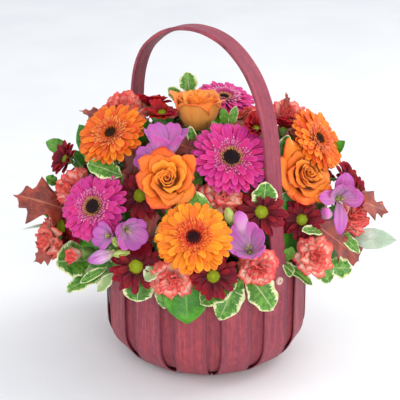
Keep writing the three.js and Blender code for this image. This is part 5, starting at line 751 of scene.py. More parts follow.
def strip(name, node, az, width, inset, level, seed, mats):
    rng = np.random.RandomState(seed)
    side = math.sin(math.radians(az)); near = 1 - math.exp(-((((az - FIRST_AZ + 90) % 180) - 90) / 9.0) ** 2)   # the strip under the handle stays close in
    half = wall_path(inset + STRIP_T / 2, level + STRIP_T / 2, full=(1.2 - 1.3 * side) * near)
    back = wall_path(inset + STRIP_T / 2, level + STRIP_T / 2, full=(1.2 + 1.3 * side) * near)
    flat = [(x, half[0][1]) for x in np.linspace(-half[0][0], half[0][0], 14)[1:-1]]
    path = np.array([(-r, z) for r, z in back[::-1]] + flat + half)
    d = np.linalg.norm(np.diff(path, axis=0), axis=1); s = np.concatenate([[0], np.cumsum(d)]); mid = s[-1] / 2
    tx = np.gradient(path[:, 0], s); tz = np.gradient(path[:, 1], s)
    nrm = np.stack([tz, -tx], 1); nrm /= np.linalg.norm(nrm, axis=1, keepdims=True)     # outwards and down
    nv = 11; q = np.linspace(-1, 1, nv)
    up = smooth01((np.abs(s - mid) - 70) / 60)                                          # only the standing part is cupped
    cup = rng.uniform(.55, .95, 2); side_no = (s > mid).astype(int)
    tw = rng.uniform(-.35, .35, 2)
    bulge = (cup[side_no] * up)[:, None] * (q ** 2 - .25)[None, :] + (tw[side_no] * up)[:, None] * q[None, :]
    wav = .16 * np.sin(s / 17 + rng.uniform(0, 6))[:, None] * up[:, None] * np.cos(q * 2.2 + rng.uniform(0, 6))[None, :]
    off = bulge + wav
    wob = 1 + .007 * np.sin(s / 31 + rng.uniform(0, 6)) + .004 * np.sin(s / 9 + rng.uniform(0, 6))
    e = azd(az); sd = np.cross([0, 0, 1.0], e)
    X = path[:, 0][:, None] + off * nrm[:, 0][:, None]; Z = path[:, 1][:, None] + off * nrm[:, 1][:, None]
    top = np.clip((path[:, 1] - 112) / 6, 0, 1)
    Z = Z + (top ** 2)[:, None] * (.35 * np.sin(q * 7 + rng.uniform(0, 6)) + .2 * np.sin(q * 17 + rng.uniform(0, 6)))[None, :] - .4 * (top ** 2)[:, None]
    Y = (width / 2) * wob[:, None] * q[None, :]
    P = X[..., None] * e + Y[..., None] * sd + Z[..., None] * np.array([0, 0, 1.0])
    # each of the two upright runs keeps its own colour number, so neighbours differ
    rnd = np.where(s > mid, rng.rand(), rng.rand())
    A = np.stack([np.repeat((s / 100)[:, None], nv, 1), np.repeat((q * width / 200)[None, :], len(s), 0), np.repeat(rnd[:, None], nv, 1), np.repeat((path[:, 1] / 118)[:, None], nv, 1)], 2)
    b = Buf(); b.sheet(P, A, STRIP_T, 0)
    return place(b, name, node, mats)


def handle_curve(n):
    h = azd(FIRST_AZ)
    C = np.array([[h[0] * r, h[1] * r, z] for r, z in HANDLE_PATH], float); out = []
    m = len(C)
    for i in range(m - 1):
        p1, p2 = C[i], C[i + 1]
        p0 = C[i - 1] if i else 2 * C[0] - C[1]
        p3 = C[i + 2] if i + 2 < m else 2 * C[-1] - C[-2]
        d = [max(np.sum((b - a) ** 2) ** .25, 1e-4) for a, b in ((p0, p1), (p1, p2), (p2, p3))]
        t1 = ((p1 - p0) / d[0] - (p2 - p0) / (d[0] + d[1]) + (p2 - p1) / d[1]) * d[1]
        t2 = ((p2 - p1) / d[1] - (p3 - p1) / (d[1] + d[2]) + (p3 - p2) / d[2]) * d[1]
        for u in np.linspace(0, 1, 24, endpoint=(i == m - 2)):
            out.append(p1 + t1 * u + (3 * (p2 - p1) - 2 * t1 - t2) * u * u + (2 * (p1 - p2) + t1 + t2) * u ** 3)
    P = np.array(out); s = np.concatenate([[0], np.cumsum(np.linalg.norm(np.diff(P, axis=0), axis=1))])
    q = np.linspace(0, s[-1], n)
    return np.stack([np.interp(q, s, P[:, k]) for k in range(3)], 1), q


def handle_piece(mats):
    n = 190
    P, s = handle_curve(n)
    T = np.gradient(P, axis=0); T /= np.linalg.norm(T, axis=1, keepdims=True); T[0] = (0, 0, 1); T[-1] = (0, 0, -1)
    az = math.radians(FIRST_AZ); N = np.array([math.cos(az), math.sin(az), 0])
    hw, ht, c = HANDLE_W / 2, HANDLE_T / 2, .95
    sec = []                                                                             # (out, across) round the section
    for (sx, sy, a0) in ((1, 1, 0), (-1, 1, 90), (-1, -1, 180), (1, -1, 270)):
        for k in range(4):
            a = math.radians(a0 + 30 * k)
            sec.append((sx * (ht - c) + c * math.cos(a), sy * (hw - c) + c * math.sin(a)))
    ring = []
    for i, (o, w) in enumerate(sec):
        ring.append((o, w)); o2, w2 = sec[(i + 1) % len(sec)]
        if abs(w2 - w) > 6:
            for f in (.2, .4, .6, .8):
                ring.append((o + (o2 - o) * f, w + (w2 - w) * f))
    ring = np.array(ring); m = len(ring)
    rng = np.random.RandomState(5)
    V, A = [], []
    for i in range(n):
        t = T[i]; out = unit(np.cross(t, N))
        if out @ (P[i] - np.array([0, 0, 200.0])) < 0:
            out = -out
        w = unit(np.cross(out, t)); tw = -math.radians(HANDLE_TWIST) * math.sin(2 * math.pi * i / (n - 1)) ** 2
        M = Matrix.Rotation(tw, 3, Vector(t)); out = np.array(M @ Vector(out)); w = np.array(M @ Vector(w))
        g = s[i]
        ww = 1 + .012 * math.sin(g / 37 + 1) + .008 * math.sin(g / 13)
        dent = .10 * np.sin(g / 5.3 + ring[:, 1] * .8) + .08 * np.sin(g / 11.0 - ring[:, 1] * .5)
        V.append(P[i] + np.outer(ring[:, 0] + np.sign(ring[:, 0]) * dent * .5 + .22 * (ring[:, 1] / hw) ** 2, out) + np.outer(ring[:, 1] * ww, w))
        # fourth number: 1 on the outer face, 0 on the inner face; the handle finish paints shade on the inner face from
        # it
        face = np.clip(.5 + ring[:, 0] / HANDLE_T, 0, 1)
        A.append(np.stack([np.full(m, g / 100), ring[:, 1] / 100, np.full(m, .37), face], 1))
    V = np.concatenate(V + [P[:1], P[-1:]]); A = np.concatenate(A + [A[0][:1], A[-1][:1]])
    i, j = np.meshgrid(np.arange(n - 1), np.arange(m), indexing="ij")
    a = (i * m + j).ravel(); b2 = (i * m + (j + 1) % m).ravel()
    q = np.stack([a, b2, b2 + m, a + m], 1)
    j = np.arange(m); k = (j + 1) % m; c0 = n * m
    tri = np.concatenate([np.stack([np.full(m, c0), k, j], 1), np.stack([np.full(m, c0 + 1), (n - 1) * m + j, (n - 1) * m + k], 1)])
    buf = Buf(); buf.add(V, A, q, tri, 0)
    return place(buf, "handle_bow", "handle", mats, fix=True)


def peg_piece(side, name, node, mats):
    d = azd(FIRST_AZ) * side; c = np.array([0, 0, PEG_Z]) + (np.array([-1.3, -.4, 1.2]) if side > 0 else 0); B = frame_of(d)
    b = Buf()
    b.lathe([(0, 87), (3.6, 87), (4.0, 87.5), (4.0, 105.9), (3.85, 106.5), (3.2, 106.85), (2.0, 106.75), (1.4, 106.5), (.8, 106.4), (0, 106.4)], 28, c, B, (.5, 1), 0)
    return place(b, name, node, mats)


def hoop_piece(mats):
    """bent hoop inside the rim, drawn as one closed ring; its scarfed lap joint is left out"""
    n, b = 145, Buf(); V, A = [], []
    for i in range(n):
        u = i / (n - 1); a = math.radians(200) + u * TAU * 1.0
        r0 = 92.4 + .0 * u; lap = .28 * math.cos(u * 9)
        sec = [(-1.0, -6.9), (-.8, -7.05), (.8, -7.05), (1.0, -6.9), (1.0, -2.3), (1.0, 2.3), (1.0, 6.6), (.7, 6.95), (-.7, 6.95), (-1.0, 6.6), (-1.0, 2.3), (-1.0, -2.3)]
        for (x, z) in sec:
            V.append([(r0 + x) * math.cos(a), (r0 + x) * math.sin(a), 111 + z * .985 + lap * .1])
            A.append([u * 5.8, z / 100, .6, .6])
    m = 12; V = np.array(V); A = np.array(A)
    i, j = np.meshgrid(np.arange(n - 1), np.arange(m), indexing="ij")
    a = (i * m + j).ravel(); b2 = (i * m + (j + 1) % m).ravel()
    keep = (n - 1) * m
    V = V[:keep]; A = A[:keep]
    q = np.stack([a, b2, (b2 + m) % keep, (a + m) % keep], 1)
    b.add(V, A, q, None, 0)
    return place(b, "rim_hoop_bent", "rim_hoop", mats, fix=True)


def foam_piece(mats):
    b = Buf(); rng = np.random.RandomState(11)
    prof = [(0, 26), (40, 26), (56, 26.2), (58.6, 28), (59.6, 33)] + [(59.8, z) for z in range(40, 140, 10)] + [(59.4, 141), (57.5, 146), (52, 147.6), (38, 148), (20, 148), (0, 148)]
    b.lathe(prof, 56, np.zeros(3), np.eye(3), (.5, 1), 0, wob=lambda T, H: 1 + .006 * np.sin(T * 9 + H / 7) + .004 * np.sin(T * 23 - H / 3))
    return place(b, "floral_foam_block", "floral_foam", mats)


def liner_piece(mats):
    b = Buf()
    zf = 3.3 + 7 * 1.3 * 2 + .2
    b.lathe([(0, zf), (54, zf), (57, zf + .4), (68, 31.2), (80, 40.4), (85.2, 50), (88, 62.2), (88.9, 80), (89.4, 98.6), (90.3, 99.4), (90.3, 100.2), (89.2, 100.3),
             (88.2, 99.8), (87.8, 98), (87.4, 80), (86.8, 62.5), (84, 50.6), (78.9, 41.2), (67.2, 32.4), (56.6, zf + 1.6), (53.6, zf + 1.2), (0, zf + 1.2)], 72, np.zeros(3), np.eye(3), (.5, 1), 0,
            wob=lambda T, H: 1 + .0022 * np.cos(T * 36) * (H > 30) * (H < 97))
    return place(b, "liner_bowl", "liner", mats, fix=True)


def place(buf, name, node, mats, fix=False):
    ob = buf.build(name, mats)
    if fix:
        import bmesh
        bm = bmesh.new(); bm.from_mesh(ob.data); bmesh.ops.recalc_face_normals(bm, faces=bm.faces); bm.to_mesh(ob.data); bm.free()
    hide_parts(node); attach(ob, "root")
    return ob


# ------------------------------------------------------------------ foliage between the flowers
CENTRE = np.array([0.0, 0.0, 122.0]); SPREAD = np.array([136.0, 118.0, 128.0])
HP = np.array([h[2] for h in HEADS], float); HN = np.array([unit(h[3]) for h in HEADS]); HR = np.array([h[4] for h in HEADS], float)
_hc, _hs = handle_curve(220)


def region(c, kind):
    f = math.degrees(math.atan2(c[0], -c[1]))
    if kind == "pitto":
        if c[2] > 206: return "pittosporum_top"
        return "pittosporum_front" if abs(f) < 42 else ("pittosporum_back" if abs(f) > 112 else ("pittosporum_right" if f > 0 else "pittosporum_left"))
    if kind == "oak":
        return "oak_back" if abs(f) > 112 else ("oak_right" if f > 30 else ("oak_left" if f < -50 else "oak_mid"))
    return "salal_front" if f > -20 else "salal_left"


EYE_POINT = np.array([-7.1, -1205.3, 649.0])


def fits(pts, clear):
    """no point of the blade in front of, or inside, a flower; clear of the handle and the rim"""
    for q in pts:
        d = q - HP; ax = np.einsum("ij,ij->i", d, HN); lat = np.sqrt(np.maximum(np.einsum("ij,ij->i", d, d) - ax ** 2, 0))
        if ((lat < HR + 2) & (ax > -clear) & (ax < 45)).any() or ((lat < HR * .55) & (ax > -34) & (ax < 0)).any():
            return False
        hd = _hc - q; toward = unit(EYE_POINT - q); along = hd @ toward
        off = np.sqrt(np.maximum(np.einsum("ij,ij->i", hd, hd) - along ** 2, 0))
        if ((off < 11) & (along < 0)).any():
            return False
        if np.min(np.linalg.norm(_hc - q, axis=1)) < 15 or (q[2] < 127 and math.hypot(q[0], q[1]) < 112) or q[2] < 118:
            return False
    return True


def fill(count, seed, kinds, lo, hi, clear=3.5, tries=60000, spacing=15.0, front=None):
    rng = np.random.RandomState(seed); out = []; mids = []
    for _ in range(tries):
        if len(out) >= count:
            break
        kind, L, W, flag = kinds[rng.randint(len(kinds))]
        L = L * rng.uniform(.82, 1.15); W = W * rng.uniform(.85, 1.12)
        z = rng.uniform(-.12, .97); a = rng.uniform(0, TAU); d = np.array([math.cos(a) * math.sqrt(1 - z * z), math.sin(a) * math.sqrt(1 - z * z), z])
        if front is not None and (d[1] < 0) != front:
            continue
        nrm = unit(d / SPREAD)
        c = CENTRE + d * (SPREAD - rng.uniform(lo, hi))
        tang = unit(np.cross(nrm, rng.normal(size=3)))
        if tang[2] < 0 and rng.rand() < .45:
            tang = -tang
        axis = unit(tang * rng.uniform(.75, 1.0) + nrm * rng.uniform(.05, .75))
        b = c - axis * L * .45; t = c + axis * L * .55
        f = unit(nrm + .35 * rng.normal(size=3)); side = unit(np.cross(f, axis))
        if mids and min(np.linalg.norm(m - c) for m in mids) < spacing:
            continue
        if not fits([t, c, c + side * W * .4, c - side * W * .4, b * .3 + t * .7 + side * W * .35, b * .3 + t * .7 - side * W * .35], clear):
            continue
        mids.append(c); out.append((region(c, kind), kind, tuple(b), tuple(t), tuple(f), W, 0, *flag))
    return out


P0, PU, PP, SP = (0, 0, 0), (1, 0, 0), (0, 1, 0), (0, 0, 1)
FILL = fill(74, 21, [("pitto", 33, 19, P0), ("pitto", 29, 17, P0), ("pitto", 25, 15, PP), ("oak", 52, 38, P0), ("salal", 42, 27, P0)], 6, 30, spacing=19)
FILL += fill(70, 22, [("pitto", 26, 14, P0), ("pitto", 24, 13, PP), ("pitto", 22, 12, PP), ("oak", 36, 26, P0)], 0, 24, clear=2.5, spacing=13)
FILL += fill(80, 23, [("salal", 50, 34, P0), ("oak", 56, 42, P0), ("pitto", 36, 22, PP)], 26, 50, clear=6, spacing=16)
FILL += MORE


# ------------------------------------------------------------------ materials
def lin(c):
    return tuple((v / 255 / 12.92) if v / 255 <= .04045 else (((v / 255) + .055) / 1.055) ** 2.4 for v in c) + (1.0,)


class Mat:
    def __init__(s, name, rough=.5, spec=.5, sss=0.0, sssr=(1.0, .4, .25), sss_scale=.004, sheen=0.0, coat=0.0, coat_rough=.2):
        s.m = bpy.data.materials.new(name); s.m.use_nodes = True; s.nt = s.m.node_tree; s.nt.nodes.clear()
        s.out = s.nt.nodes.new("ShaderNodeOutputMaterial"); s.b = s.nt.nodes.new("ShaderNodeBsdfPrincipled")
        s.nt.links.new(s.b.outputs[0], s.out.inputs[0])
        i = s.b.inputs
        i["Roughness"].default_value = rough; i["Specular IOR Level"].default_value = spec
        if sss:
            i["Subsurface Weight"].default_value = sss; i["Subsurface Radius"].default_value = sssr; i["Subsurface Scale"].default_value = sss_scale
        if sheen:
            i["Sheen Weight"].default_value = sheen; i["Sheen Roughness"].default_value = .45
        if coat:
            i["Coat Weight"].default_value = coat; i["Coat Roughness"].default_value = coat_rough
        a = s.nt.nodes.new("ShaderNodeAttribute"); a.attribute_name = "pa"
        sep = s.nt.nodes.new("ShaderNodeSeparateColor"); s.nt.links.new(a.outputs["Color"], sep.inputs[0])
        s.T, s.S, s.R, s.A = sep.outputs[0], sep.outputs[1], sep.outputs[2], a.outputs["Alpha"]
        s.co = None
    def _in(s, sock, v):
        if hasattr(v, "is_output"):
            s.nt.links.new(v, sock)
        elif isinstance(v, (tuple, list)):
            sock.default_value = v if len(v) == len(sock.default_value) else tuple(v)[:len(sock.default_value)]
        else:
            sock.default_value = v
    def math(s, op, a, b=0.0, c=0.0, clamp=False):
        n = s.nt.nodes.new("ShaderNodeMath"); n.operation = op; n.use_clamp = clamp
        s._in(n.inputs[0], a); s._in(n.inputs[1], b)
        if op in ("MULTIPLY_ADD", "SMOOTH_MIN"):
            s._in(n.inputs[2], c)
        return n.outputs[0]
    def mul(s, a, b): return s.math("MULTIPLY", a, b)
    def add(s, a, b): return s.math("ADD", a, b)
    def sub(s, a, b): return s.math("SUBTRACT", a, b)
    def ramp(s, v, lo, hi, a=0.0, b=1.0):
        n = s.nt.nodes.new("ShaderNodeMapRange"); n.interpolation_type = "SMOOTHSTEP"
        s._in(n.inputs[0], v); n.inputs[1].default_value = lo; n.inputs[2].default_value = hi; n.inputs[3].default_value = a; n.inputs[4].default_value = b
        return n.outputs[0]
    def vec(s, x, y, z):
        n = s.nt.nodes.new("ShaderNodeCombineXYZ"); s._in(n.inputs[0], x); s._in(n.inputs[1], y); s._in(n.inputs[2], z); return n.outputs[0]
    def obj(s):
        if s.co is None:
            s.co = s.nt.nodes.new("ShaderNodeTexCoord").outputs["Object"]
        return s.co
    def noise(s, scale, detail=2.0, rough=.5, vec=None, dist=0.0):
        n = s.nt.nodes.new("ShaderNodeTexNoise"); s.nt.links.new(vec if vec is not None else s.obj(), n.inputs["Vector"])
        n.inputs["Scale"].default_value = scale; n.inputs["Detail"].default_value = detail; n.inputs["Roughness"].default_value = rough; n.inputs["Distortion"].default_value = dist
        return n.outputs[0]
    def voronoi(s, scale, vec=None, feature="F1", out=0):
        n = s.nt.nodes.new("ShaderNodeTexVoronoi"); n.feature = feature; s.nt.links.new(vec if vec is not None else s.obj(), n.inputs["Vector"])
        n.inputs["Scale"].default_value = scale; return n.outputs[out]
    def mix(s, f, a, b, blend="MIX"):
        n = s.nt.nodes.new("ShaderNodeMix"); n.data_type = "RGBA"; n.blend_type = blend; n.clamp_factor = True
        s._in(n.inputs[0], f); s._in(n.inputs[6], a); s._in(n.inputs[7], b); return n.outputs[2]
    def cramp(s, v, stops):
        n = s.nt.nodes.new("ShaderNodeValToRGB"); s.nt.links.new(v, n.inputs[0]); e = n.color_ramp.elements
        while len(e) < len(stops):
            e.new(.5)
        for k, (p, c) in enumerate(stops):
            e[k].position = p; e[k].color = lin(c)
        return n.outputs[0]
    def hsv(s, col, h=.5, sat=1.0, v=1.0):
        n = s.nt.nodes.new("ShaderNodeHueSaturation"); s._in(n.inputs["Hue"], h); s._in(n.inputs["Saturation"], sat); s._in(n.inputs["Value"], v); s._in(n.inputs["Color"], col); return n.outputs[0]
    def bump(s, h, dist=.0003, strength=1.0, normal=None):
        n = s.nt.nodes.new("ShaderNodeBump"); n.inputs["Distance"].default_value = dist; n.inputs["Strength"].default_value = strength; s.nt.links.new(h, n.inputs["Height"])
        if normal is not None:
            s.nt.links.new(normal, n.inputs["Normal"])
        return n.outputs[0]
    def done(s, col, rough=None, normal=None):
        s.nt.links.new(col, s.b.inputs["Base Color"])
        if rough is not None:
            s.nt.links.new(rough, s.b.inputs["Roughness"])
        if normal is not None:
            s.nt.links.new(normal, s.b.inputs["Normal"])
        return s.m
    def absS(s):
        """distance from the midline, 0 to 1"""
        return s.math("ABSOLUTE", s.math("MULTIPLY_ADD", s.S, 2.0, -1.0))
    def fibres(s, across, along, detail=3.0):
        """streaks that run along the petal or leaf, different on each one"""
        v = s.vec(s.mul(s.S, across), s.mul(s.T, along), s.mul(s.R, 37.0)); return s.noise(1.0, detail, .55, v)


def petal_material(name, stops, streak, streak_amt=.35, rough=.55, sss=.22, edge=None, edge_amt=0.0, edge_lo=.72, vary=.10, hue=.012, scale=(26, 3.0), bump=.00022, sheen=.12, tone_dark=None, edge_tone=False):
    m = Mat(name, rough, .35, sss, (1.0, .35, .3), .0035, sheen)
    base = m.cramp(m.T, stops)
    f = m.fibres(*scale)
    col = m.mix(m.mul(m.ramp(f, .38, .72), streak_amt), base, lin(streak))
    if edge is not None:
        e = m.math("MAXIMUM", m.ramp(m.absS(), edge_lo, 1.0), m.ramp(m.T, .9, 1.0))
        e = m.mul(e, m.ramp(m.noise(420, 3), .3, .62, .35, 1.0))
        if edge_tone:
            e = m.mul(e, m.ramp(m.A, .45, 1.0))
        col = m.mix(m.mul(e, edge_amt), col, lin(edge))
    if tone_dark is not None:
        col = m.mix(m.ramp(m.A, 0, 1, tone_dark[1], 0.0), col, lin(tone_dark[0]))
    col = m.hsv(col, m.math("MULTIPLY_ADD", m.R, hue * 2, .5 - hue), 1.0, m.math("MULTIPLY_ADD", m.R, vary * 2, 1 - vary))
    mott = m.noise(900, 2)
    col = m.mix(m.ramp(mott, .35, .8, 0, .06), col, (1, 1, 1, 1), "SOFT_LIGHT")
    rr = m.ramp(m.noise(500, 2), .3, .7, rough - .08, rough + .1)
    h = m.add(m.mul(f, 1.0), m.mul(mott, .35))
    return m.done(col, rr, m.bump(h, bump))


def green_material(name, c0, c1, c2, rough=.5, sss=.12):
    m = Mat(name, rough, .45, sss, (.6, 1.0, .3), .003)
    n1 = m.noise(160, 4); n2 = m.noise(900, 2); st = m.noise(1.0, 3, .5, m.vec(m.mul(m.S, 9.0), m.mul(m.T, 2.0), m.mul(m.R, 21.0)))
    col = m.mix(m.ramp(n1, .3, .7), lin(c0), lin(c1)); col = m.mix(m.ramp(st, .5, .8, 0, .5), col, lin(c2))
    return m.done(col, m.ramp(n2, .3, .7, rough - .1, rough + .12), m.bump(m.add(n1, m.mul(n2, .5)), .0003))


def bead_material(name, stops, rough=.6, tip_highlight=.18, sss=.1, scale=700):
    """colour runs with the bead's distance from the middle, kept in the third number"""
    m = Mat(name, rough, .25, sss, (1, .6, .3), .002)
    n1 = m.noise(scale, 2)
    v = m.math("MULTIPLY_ADD", m.sub(n1, .5), .14, m.R)
    v = m.math("ADD", v, 0.0, clamp=True)
    col = m.cramp(v, stops)
    # painted highlight: each bead's tip, and the top of the dome, is lightened towards white
    tip = m.ramp(m.T, .55, 1.0, 0, tip_highlight)
    col = m.mix(tip, col, (1, 1, 1, 1), "SOFT_LIGHT")
    # painted shade: each bead's base, and the foot of the dome, is darkened where the beads crowd together
    base_shade = m.ramp(m.T, 0.0, .35, .75, 0.0)
    col = m.mix(base_shade, col, (.02, .012, .008, 1))
    return m.done(col, m.ramp(m.noise(1500, 1), .3, .7, rough - .12, rough + .12), m.bump(n1, .0002))


def leaf_material(name, kind):
    if kind == "pitto":
        m = Mat(name, .36, .5, .16, (.5, 1.0, .25), .003, coat=.12)
        e = m.absS(); n1 = m.noise(70, 2, .5)
        n2 = m.noise(1.0, 3, .6, m.vec(m.mul(m.S, 2.5), m.mul(m.T, 24.0), m.mul(m.R, 31.0)))
        wob = m.add(m.mul(m.sub(n1, .5), .7), m.mul(m.sub(n2, .5), .95))
        margin = m.ramp(m.add(m.math("MAXIMUM", e, m.math("MULTIPLY_ADD", m.ramp(m.T, .86, 1.0), .42, .52)), wob), .76, .86)
        g = m.mix(m.ramp(m.noise(230, 4, .65), .44, .58), lin((54, 122, 14)), lin((104, 162, 48)))
        g = m.mix(m.ramp(m.noise(60, 2), .5, .72, 0, .55), g, lin((36, 88, 22)))
        c = m.mix(m.ramp(m.noise(260, 3), .35, .7), lin((232, 234, 190)), lin((205, 218, 140)))
        col = m.mix(m.mul(margin, m.ramp(m.A, .0, .5)), g, c)
    elif kind == "pitto_under":
        m = Mat(name, .55, .35, .2, (.6, 1.0, .4), .003)
        e = m.absS(); n1 = m.noise(110, 3)
        g = m.mix(m.ramp(n1, .4, .6), lin((150, 178, 112)), lin((182, 200, 146)))
        col = m.mix(m.ramp(m.add(e, m.mul(m.sub(n1, .5), .5)), .62, .85), g, lin((228, 230, 190)))
    elif kind == "plain":
        m = Mat(name, .34, .5, .14, (.4, 1.0, .2), .003, coat=.15)
        col = m.mix(m.ramp(m.noise(120, 3), .35, .68), lin((44, 106, 16)), lin((92, 156, 34)))
        col = m.mix(m.ramp(m.R, 0, 1, 0, .45), col, lin((120, 166, 60)))
    elif kind == "salal":
        m = Mat(name, .38, .4, .12, (.35, 1.0, .15), .003, coat=.12, coat_rough=.3)
        col = m.mix(m.ramp(m.noise(55, 3), .35, .68), lin((32, 112, 0)), lin((78, 160, 6)))
        col = m.mix(m.ramp(m.noise(260, 3), .5, .8, 0, .35), col, lin((140, 190, 70)))
    elif kind == "salal_pale":
        m = Mat(name, .5, .4, .15, (.5, 1.0, .5), .003)
        col = m.mix(m.ramp(m.noise(70, 3), .35, .68), lin((170, 192, 168)), lin((206, 218, 202)))
    elif kind == "oak":
        m = Mat(name, .36, .5, .10, (1.0, .4, .2), .003, coat=.18, coat_rough=.28)
        col = m.mix(m.ramp(m.noise(60, 3, .6), .36, .66), lin((108, 37, 29)), lin((175, 68, 50)))
        col = m.mix(m.ramp(m.noise(200, 3), .5, .75, 0, .5), col, lin((190, 92, 54)))
        col = m.mix(m.ramp(m.R, 0, 1, 0, .30), col, lin((126, 40, 52)))
    elif kind == "oak_under":
        m = Mat(name, .55, .35, .12, (1.0, .5, .3), .003)
        col = m.mix(m.ramp(m.noise(90, 3), .36, .66), lin((140, 84, 70)), lin((176, 122, 98)))
    else:
        m = Mat(name, .55, .35, .14, (.5, 1.0, .3), .003)
        col = m.mix(m.ramp(m.noise(90, 3), .36, .66), lin((112, 150, 88)), lin((150, 178, 120)))
    # midrib and side veins
    e = m.absS()
    rib = m.ramp(e, .02, .075, 1.0, 0.0)
    sv = m.math("ABSOLUTE", m.math("SINE", m.mul(m.sub(m.mul(m.T, 9.0 if kind != "oak" else 6.0), m.mul(e, 2.2)), math.pi)))
    side = m.mul(m.ramp(sv, .0, .13, 1.0, 0.0), m.ramp(e, .75, 1.0, 1.0, .0))
    net = m.voronoi(560, feature="DISTANCE_TO_EDGE")
    netm = m.ramp(net, .0, .12, 1.0, 0.0)
    light = {"oak": (205, 120, 90), "oak_under": (205, 160, 130), "salal": (150, 200, 90), "pitto": (190, 206, 140), "plain": (140, 184, 84), "salal_pale": (205, 214, 190)}.get(kind, (190, 206, 160))
    col = m.mix(m.mul(rib, .35 if kind == "salal" else .7), col, lin(light)); col = m.mix(m.mul(side, .34), col, lin(light)); col = m.mix(m.mul(netm, .10), col, lin(light))
    h = m.add(m.add(m.mul(rib, -.9), m.mul(side, -.6)), m.add(m.mul(netm, -.25), m.mul(m.noise(240, 3), .8)))
    base = m.b.inputs["Roughness"].default_value
    return m.done(col, m.ramp(m.noise(420, 2), .3, .7, base - .07, base + .12), m.bump(h, .00035))


def wood_material(name, dark=0.0, pale=False, handle=False):
    m = Mat(name, .52, .4, sheen=.0)
    # grain runs along the strip: first number along, second across, both in decimetres
    gx = m.mul(m.T, 100.0); gy = m.mul(m.S, 100.0); rr = m.mul(m.R, 91.0)
    coarse = m.noise(1.0, 3, .55, m.vec(m.mul(gx, .012), m.mul(gy, .20), rr), .6)
    fine = m.noise(1.0, 4, .62, m.vec(m.mul(gx, .045), m.mul(gy, 1.9), rr), .3)
    hair = m.noise(1.0, 3, .6, m.vec(m.mul(gx, .10), m.mul(gy, 5.2), rr))
    pits = m.noise(1.0, 2, .5, m.vec(m.mul(gx, .35), m.mul(gy, 2.6), rr))
    if pale:
        base = m.mix(m.ramp(coarse, .3, .7), lin((212, 174, 160)), lin((228, 200, 184)))
        ring = m.ramp(m.T, .84, 1.0, 0, .75)
        base = m.mix(ring, base, lin((138, 80, 70)))
        col = m.mix(m.ramp(fine, .5, .75, 0, .4), base, lin((170, 104, 110)))
        return m.done(col, None, m.bump(fine, .0003))
    base = m.mix(m.ramp(m.R, .15, .85), lin((158, 72, 88)), lin((172, 68, 74)))
    base = m.mix(m.ramp(coarse, .36, .64, 0, .7), base, lin((136, 56, 78)))
    mottle = m.noise(170, 4, .7); base = m.mix(m.ramp(mottle, .40, .62, 0, .5), base, lin((122, 46, 62)))
    # painted shade: the slats darken towards their long edges, where the neighbouring slats overlap them
    rim = m.ramp(m.math("ABSOLUTE", m.S), .085, .158, 0, .5)
    if not handle:
        base = m.mix(rim, base, lin((112, 54, 70)))
    red = m.ramp(m.noise(1.0, 3, .6, m.vec(m.mul(gx, .02), m.mul(gy, .42), m.add(rr, 17.0))), .52, .72)
    base = m.mix(m.mul(red, .75), base, lin((192, 76, 76)))
    if handle:
        base = m.mix(m.ramp(m.A, .85, 1.0, 0, .3), base, lin((150, 66, 90)))
        # painted shade: the inner face of the bow, turned in and down towards the flowers, is darkened
        base = m.mix(m.ramp(m.A, .0, .12, .55, 0.0), base, lin((92, 32, 44)))
    col = m.mix(m.ramp(fine, .52, .70, 0, .34), base, lin((100, 34, 50)))
    col = m.mix(m.ramp(fine, .26, .46, .28, 0.0), col, lin((190, 104, 112)))
    col = m.mix(m.ramp(hair, .54, .72, 0, .36), col, lin((78, 22, 38)))
    pit = m.ramp(pits, .66, .74)
    col = m.mix(m.mul(pit, .55), col, lin((78, 26, 40)))
    nick = m.ramp(m.noise(1.0, 2, .5, m.vec(m.mul(gx, .22), m.mul(gy, 1.1), m.add(rr, 5.0))), .735, .77)
    col = m.mix(m.mul(nick, .7), col, lin((214, 150, 146)))
    # painted shade: the inner slats and the hoop sit recessed behind the outer slats and are darkened by this amount
    if dark:
        col = m.mix(dark, col, lin((58, 20, 34)))
    h = m.add(m.add(m.mul(fine, -.8), m.mul(hair, -.5)), m.add(m.mul(pit, -1.0), m.mul(coarse, .6)))
    rough = m.ramp(fine, .3, .75, .44, .66)
    return m.done(col, rough, m.bump(h, .0005, .8))


def foam_material():
    m = Mat("foam_green", .95, .2)
    n1 = m.noise(420, 4, .7); v = m.voronoi(900)
    col = m.mix(m.ramp(n1, .35, .65), lin((30, 52, 26)), lin((58, 84, 44)))
    return m.done(col, None, m.bump(m.add(n1, m.mul(v, .8)), .0008))


def liner_material():
    m = Mat("liner_green_plastic", .32, .5)
    n1 = m.noise(60, 3); n2 = m.noise(800, 2)
    col = m.mix(m.ramp(n1, .3, .7), lin((24, 46, 26)), lin((34, 62, 36)))
    col = m.mix(m.ramp(n2, .6, .8, 0, .3), col, lin((80, 96, 70)))
    return m.done(col, m.ramp(n1, .3, .7, .25, .5), m.bump(m.add(n2, n1), .0002))


# ------------------------------------------------------------------ camera, floor and light
scene = bpy.context.scene
E22 = math.radians(22.0)
target = Vector((-0.0071, 0.0, 0.162))
cam_data = bpy.data.cameras.new("camera"); cam = bpy.data.objects.new("camera", cam_data); scene.collection.objects.link(cam)
cam.location = target + 1.3 * Vector((0, -math.cos(E22), math.sin(E22)))
cam.rotation_euler = (math.pi / 2 - E22, 0, 0)
cam_data.lens = 117.0; cam_data.sensor_width = 36.0; cam_data.clip_end = 60.0
scene.camera = cam
scene.view_settings.view_transform = "Standard"

world = bpy.data.worlds.new("studio"); scene.world = world; world.use_nodes = True
bg = world.node_tree.nodes.get("Background") or world.node_tree.nodes.new("ShaderNodeBackground")
bg.inputs[0].default_value = (.95, .97, 1.0, 1); bg.inputs[1].default_value = .84


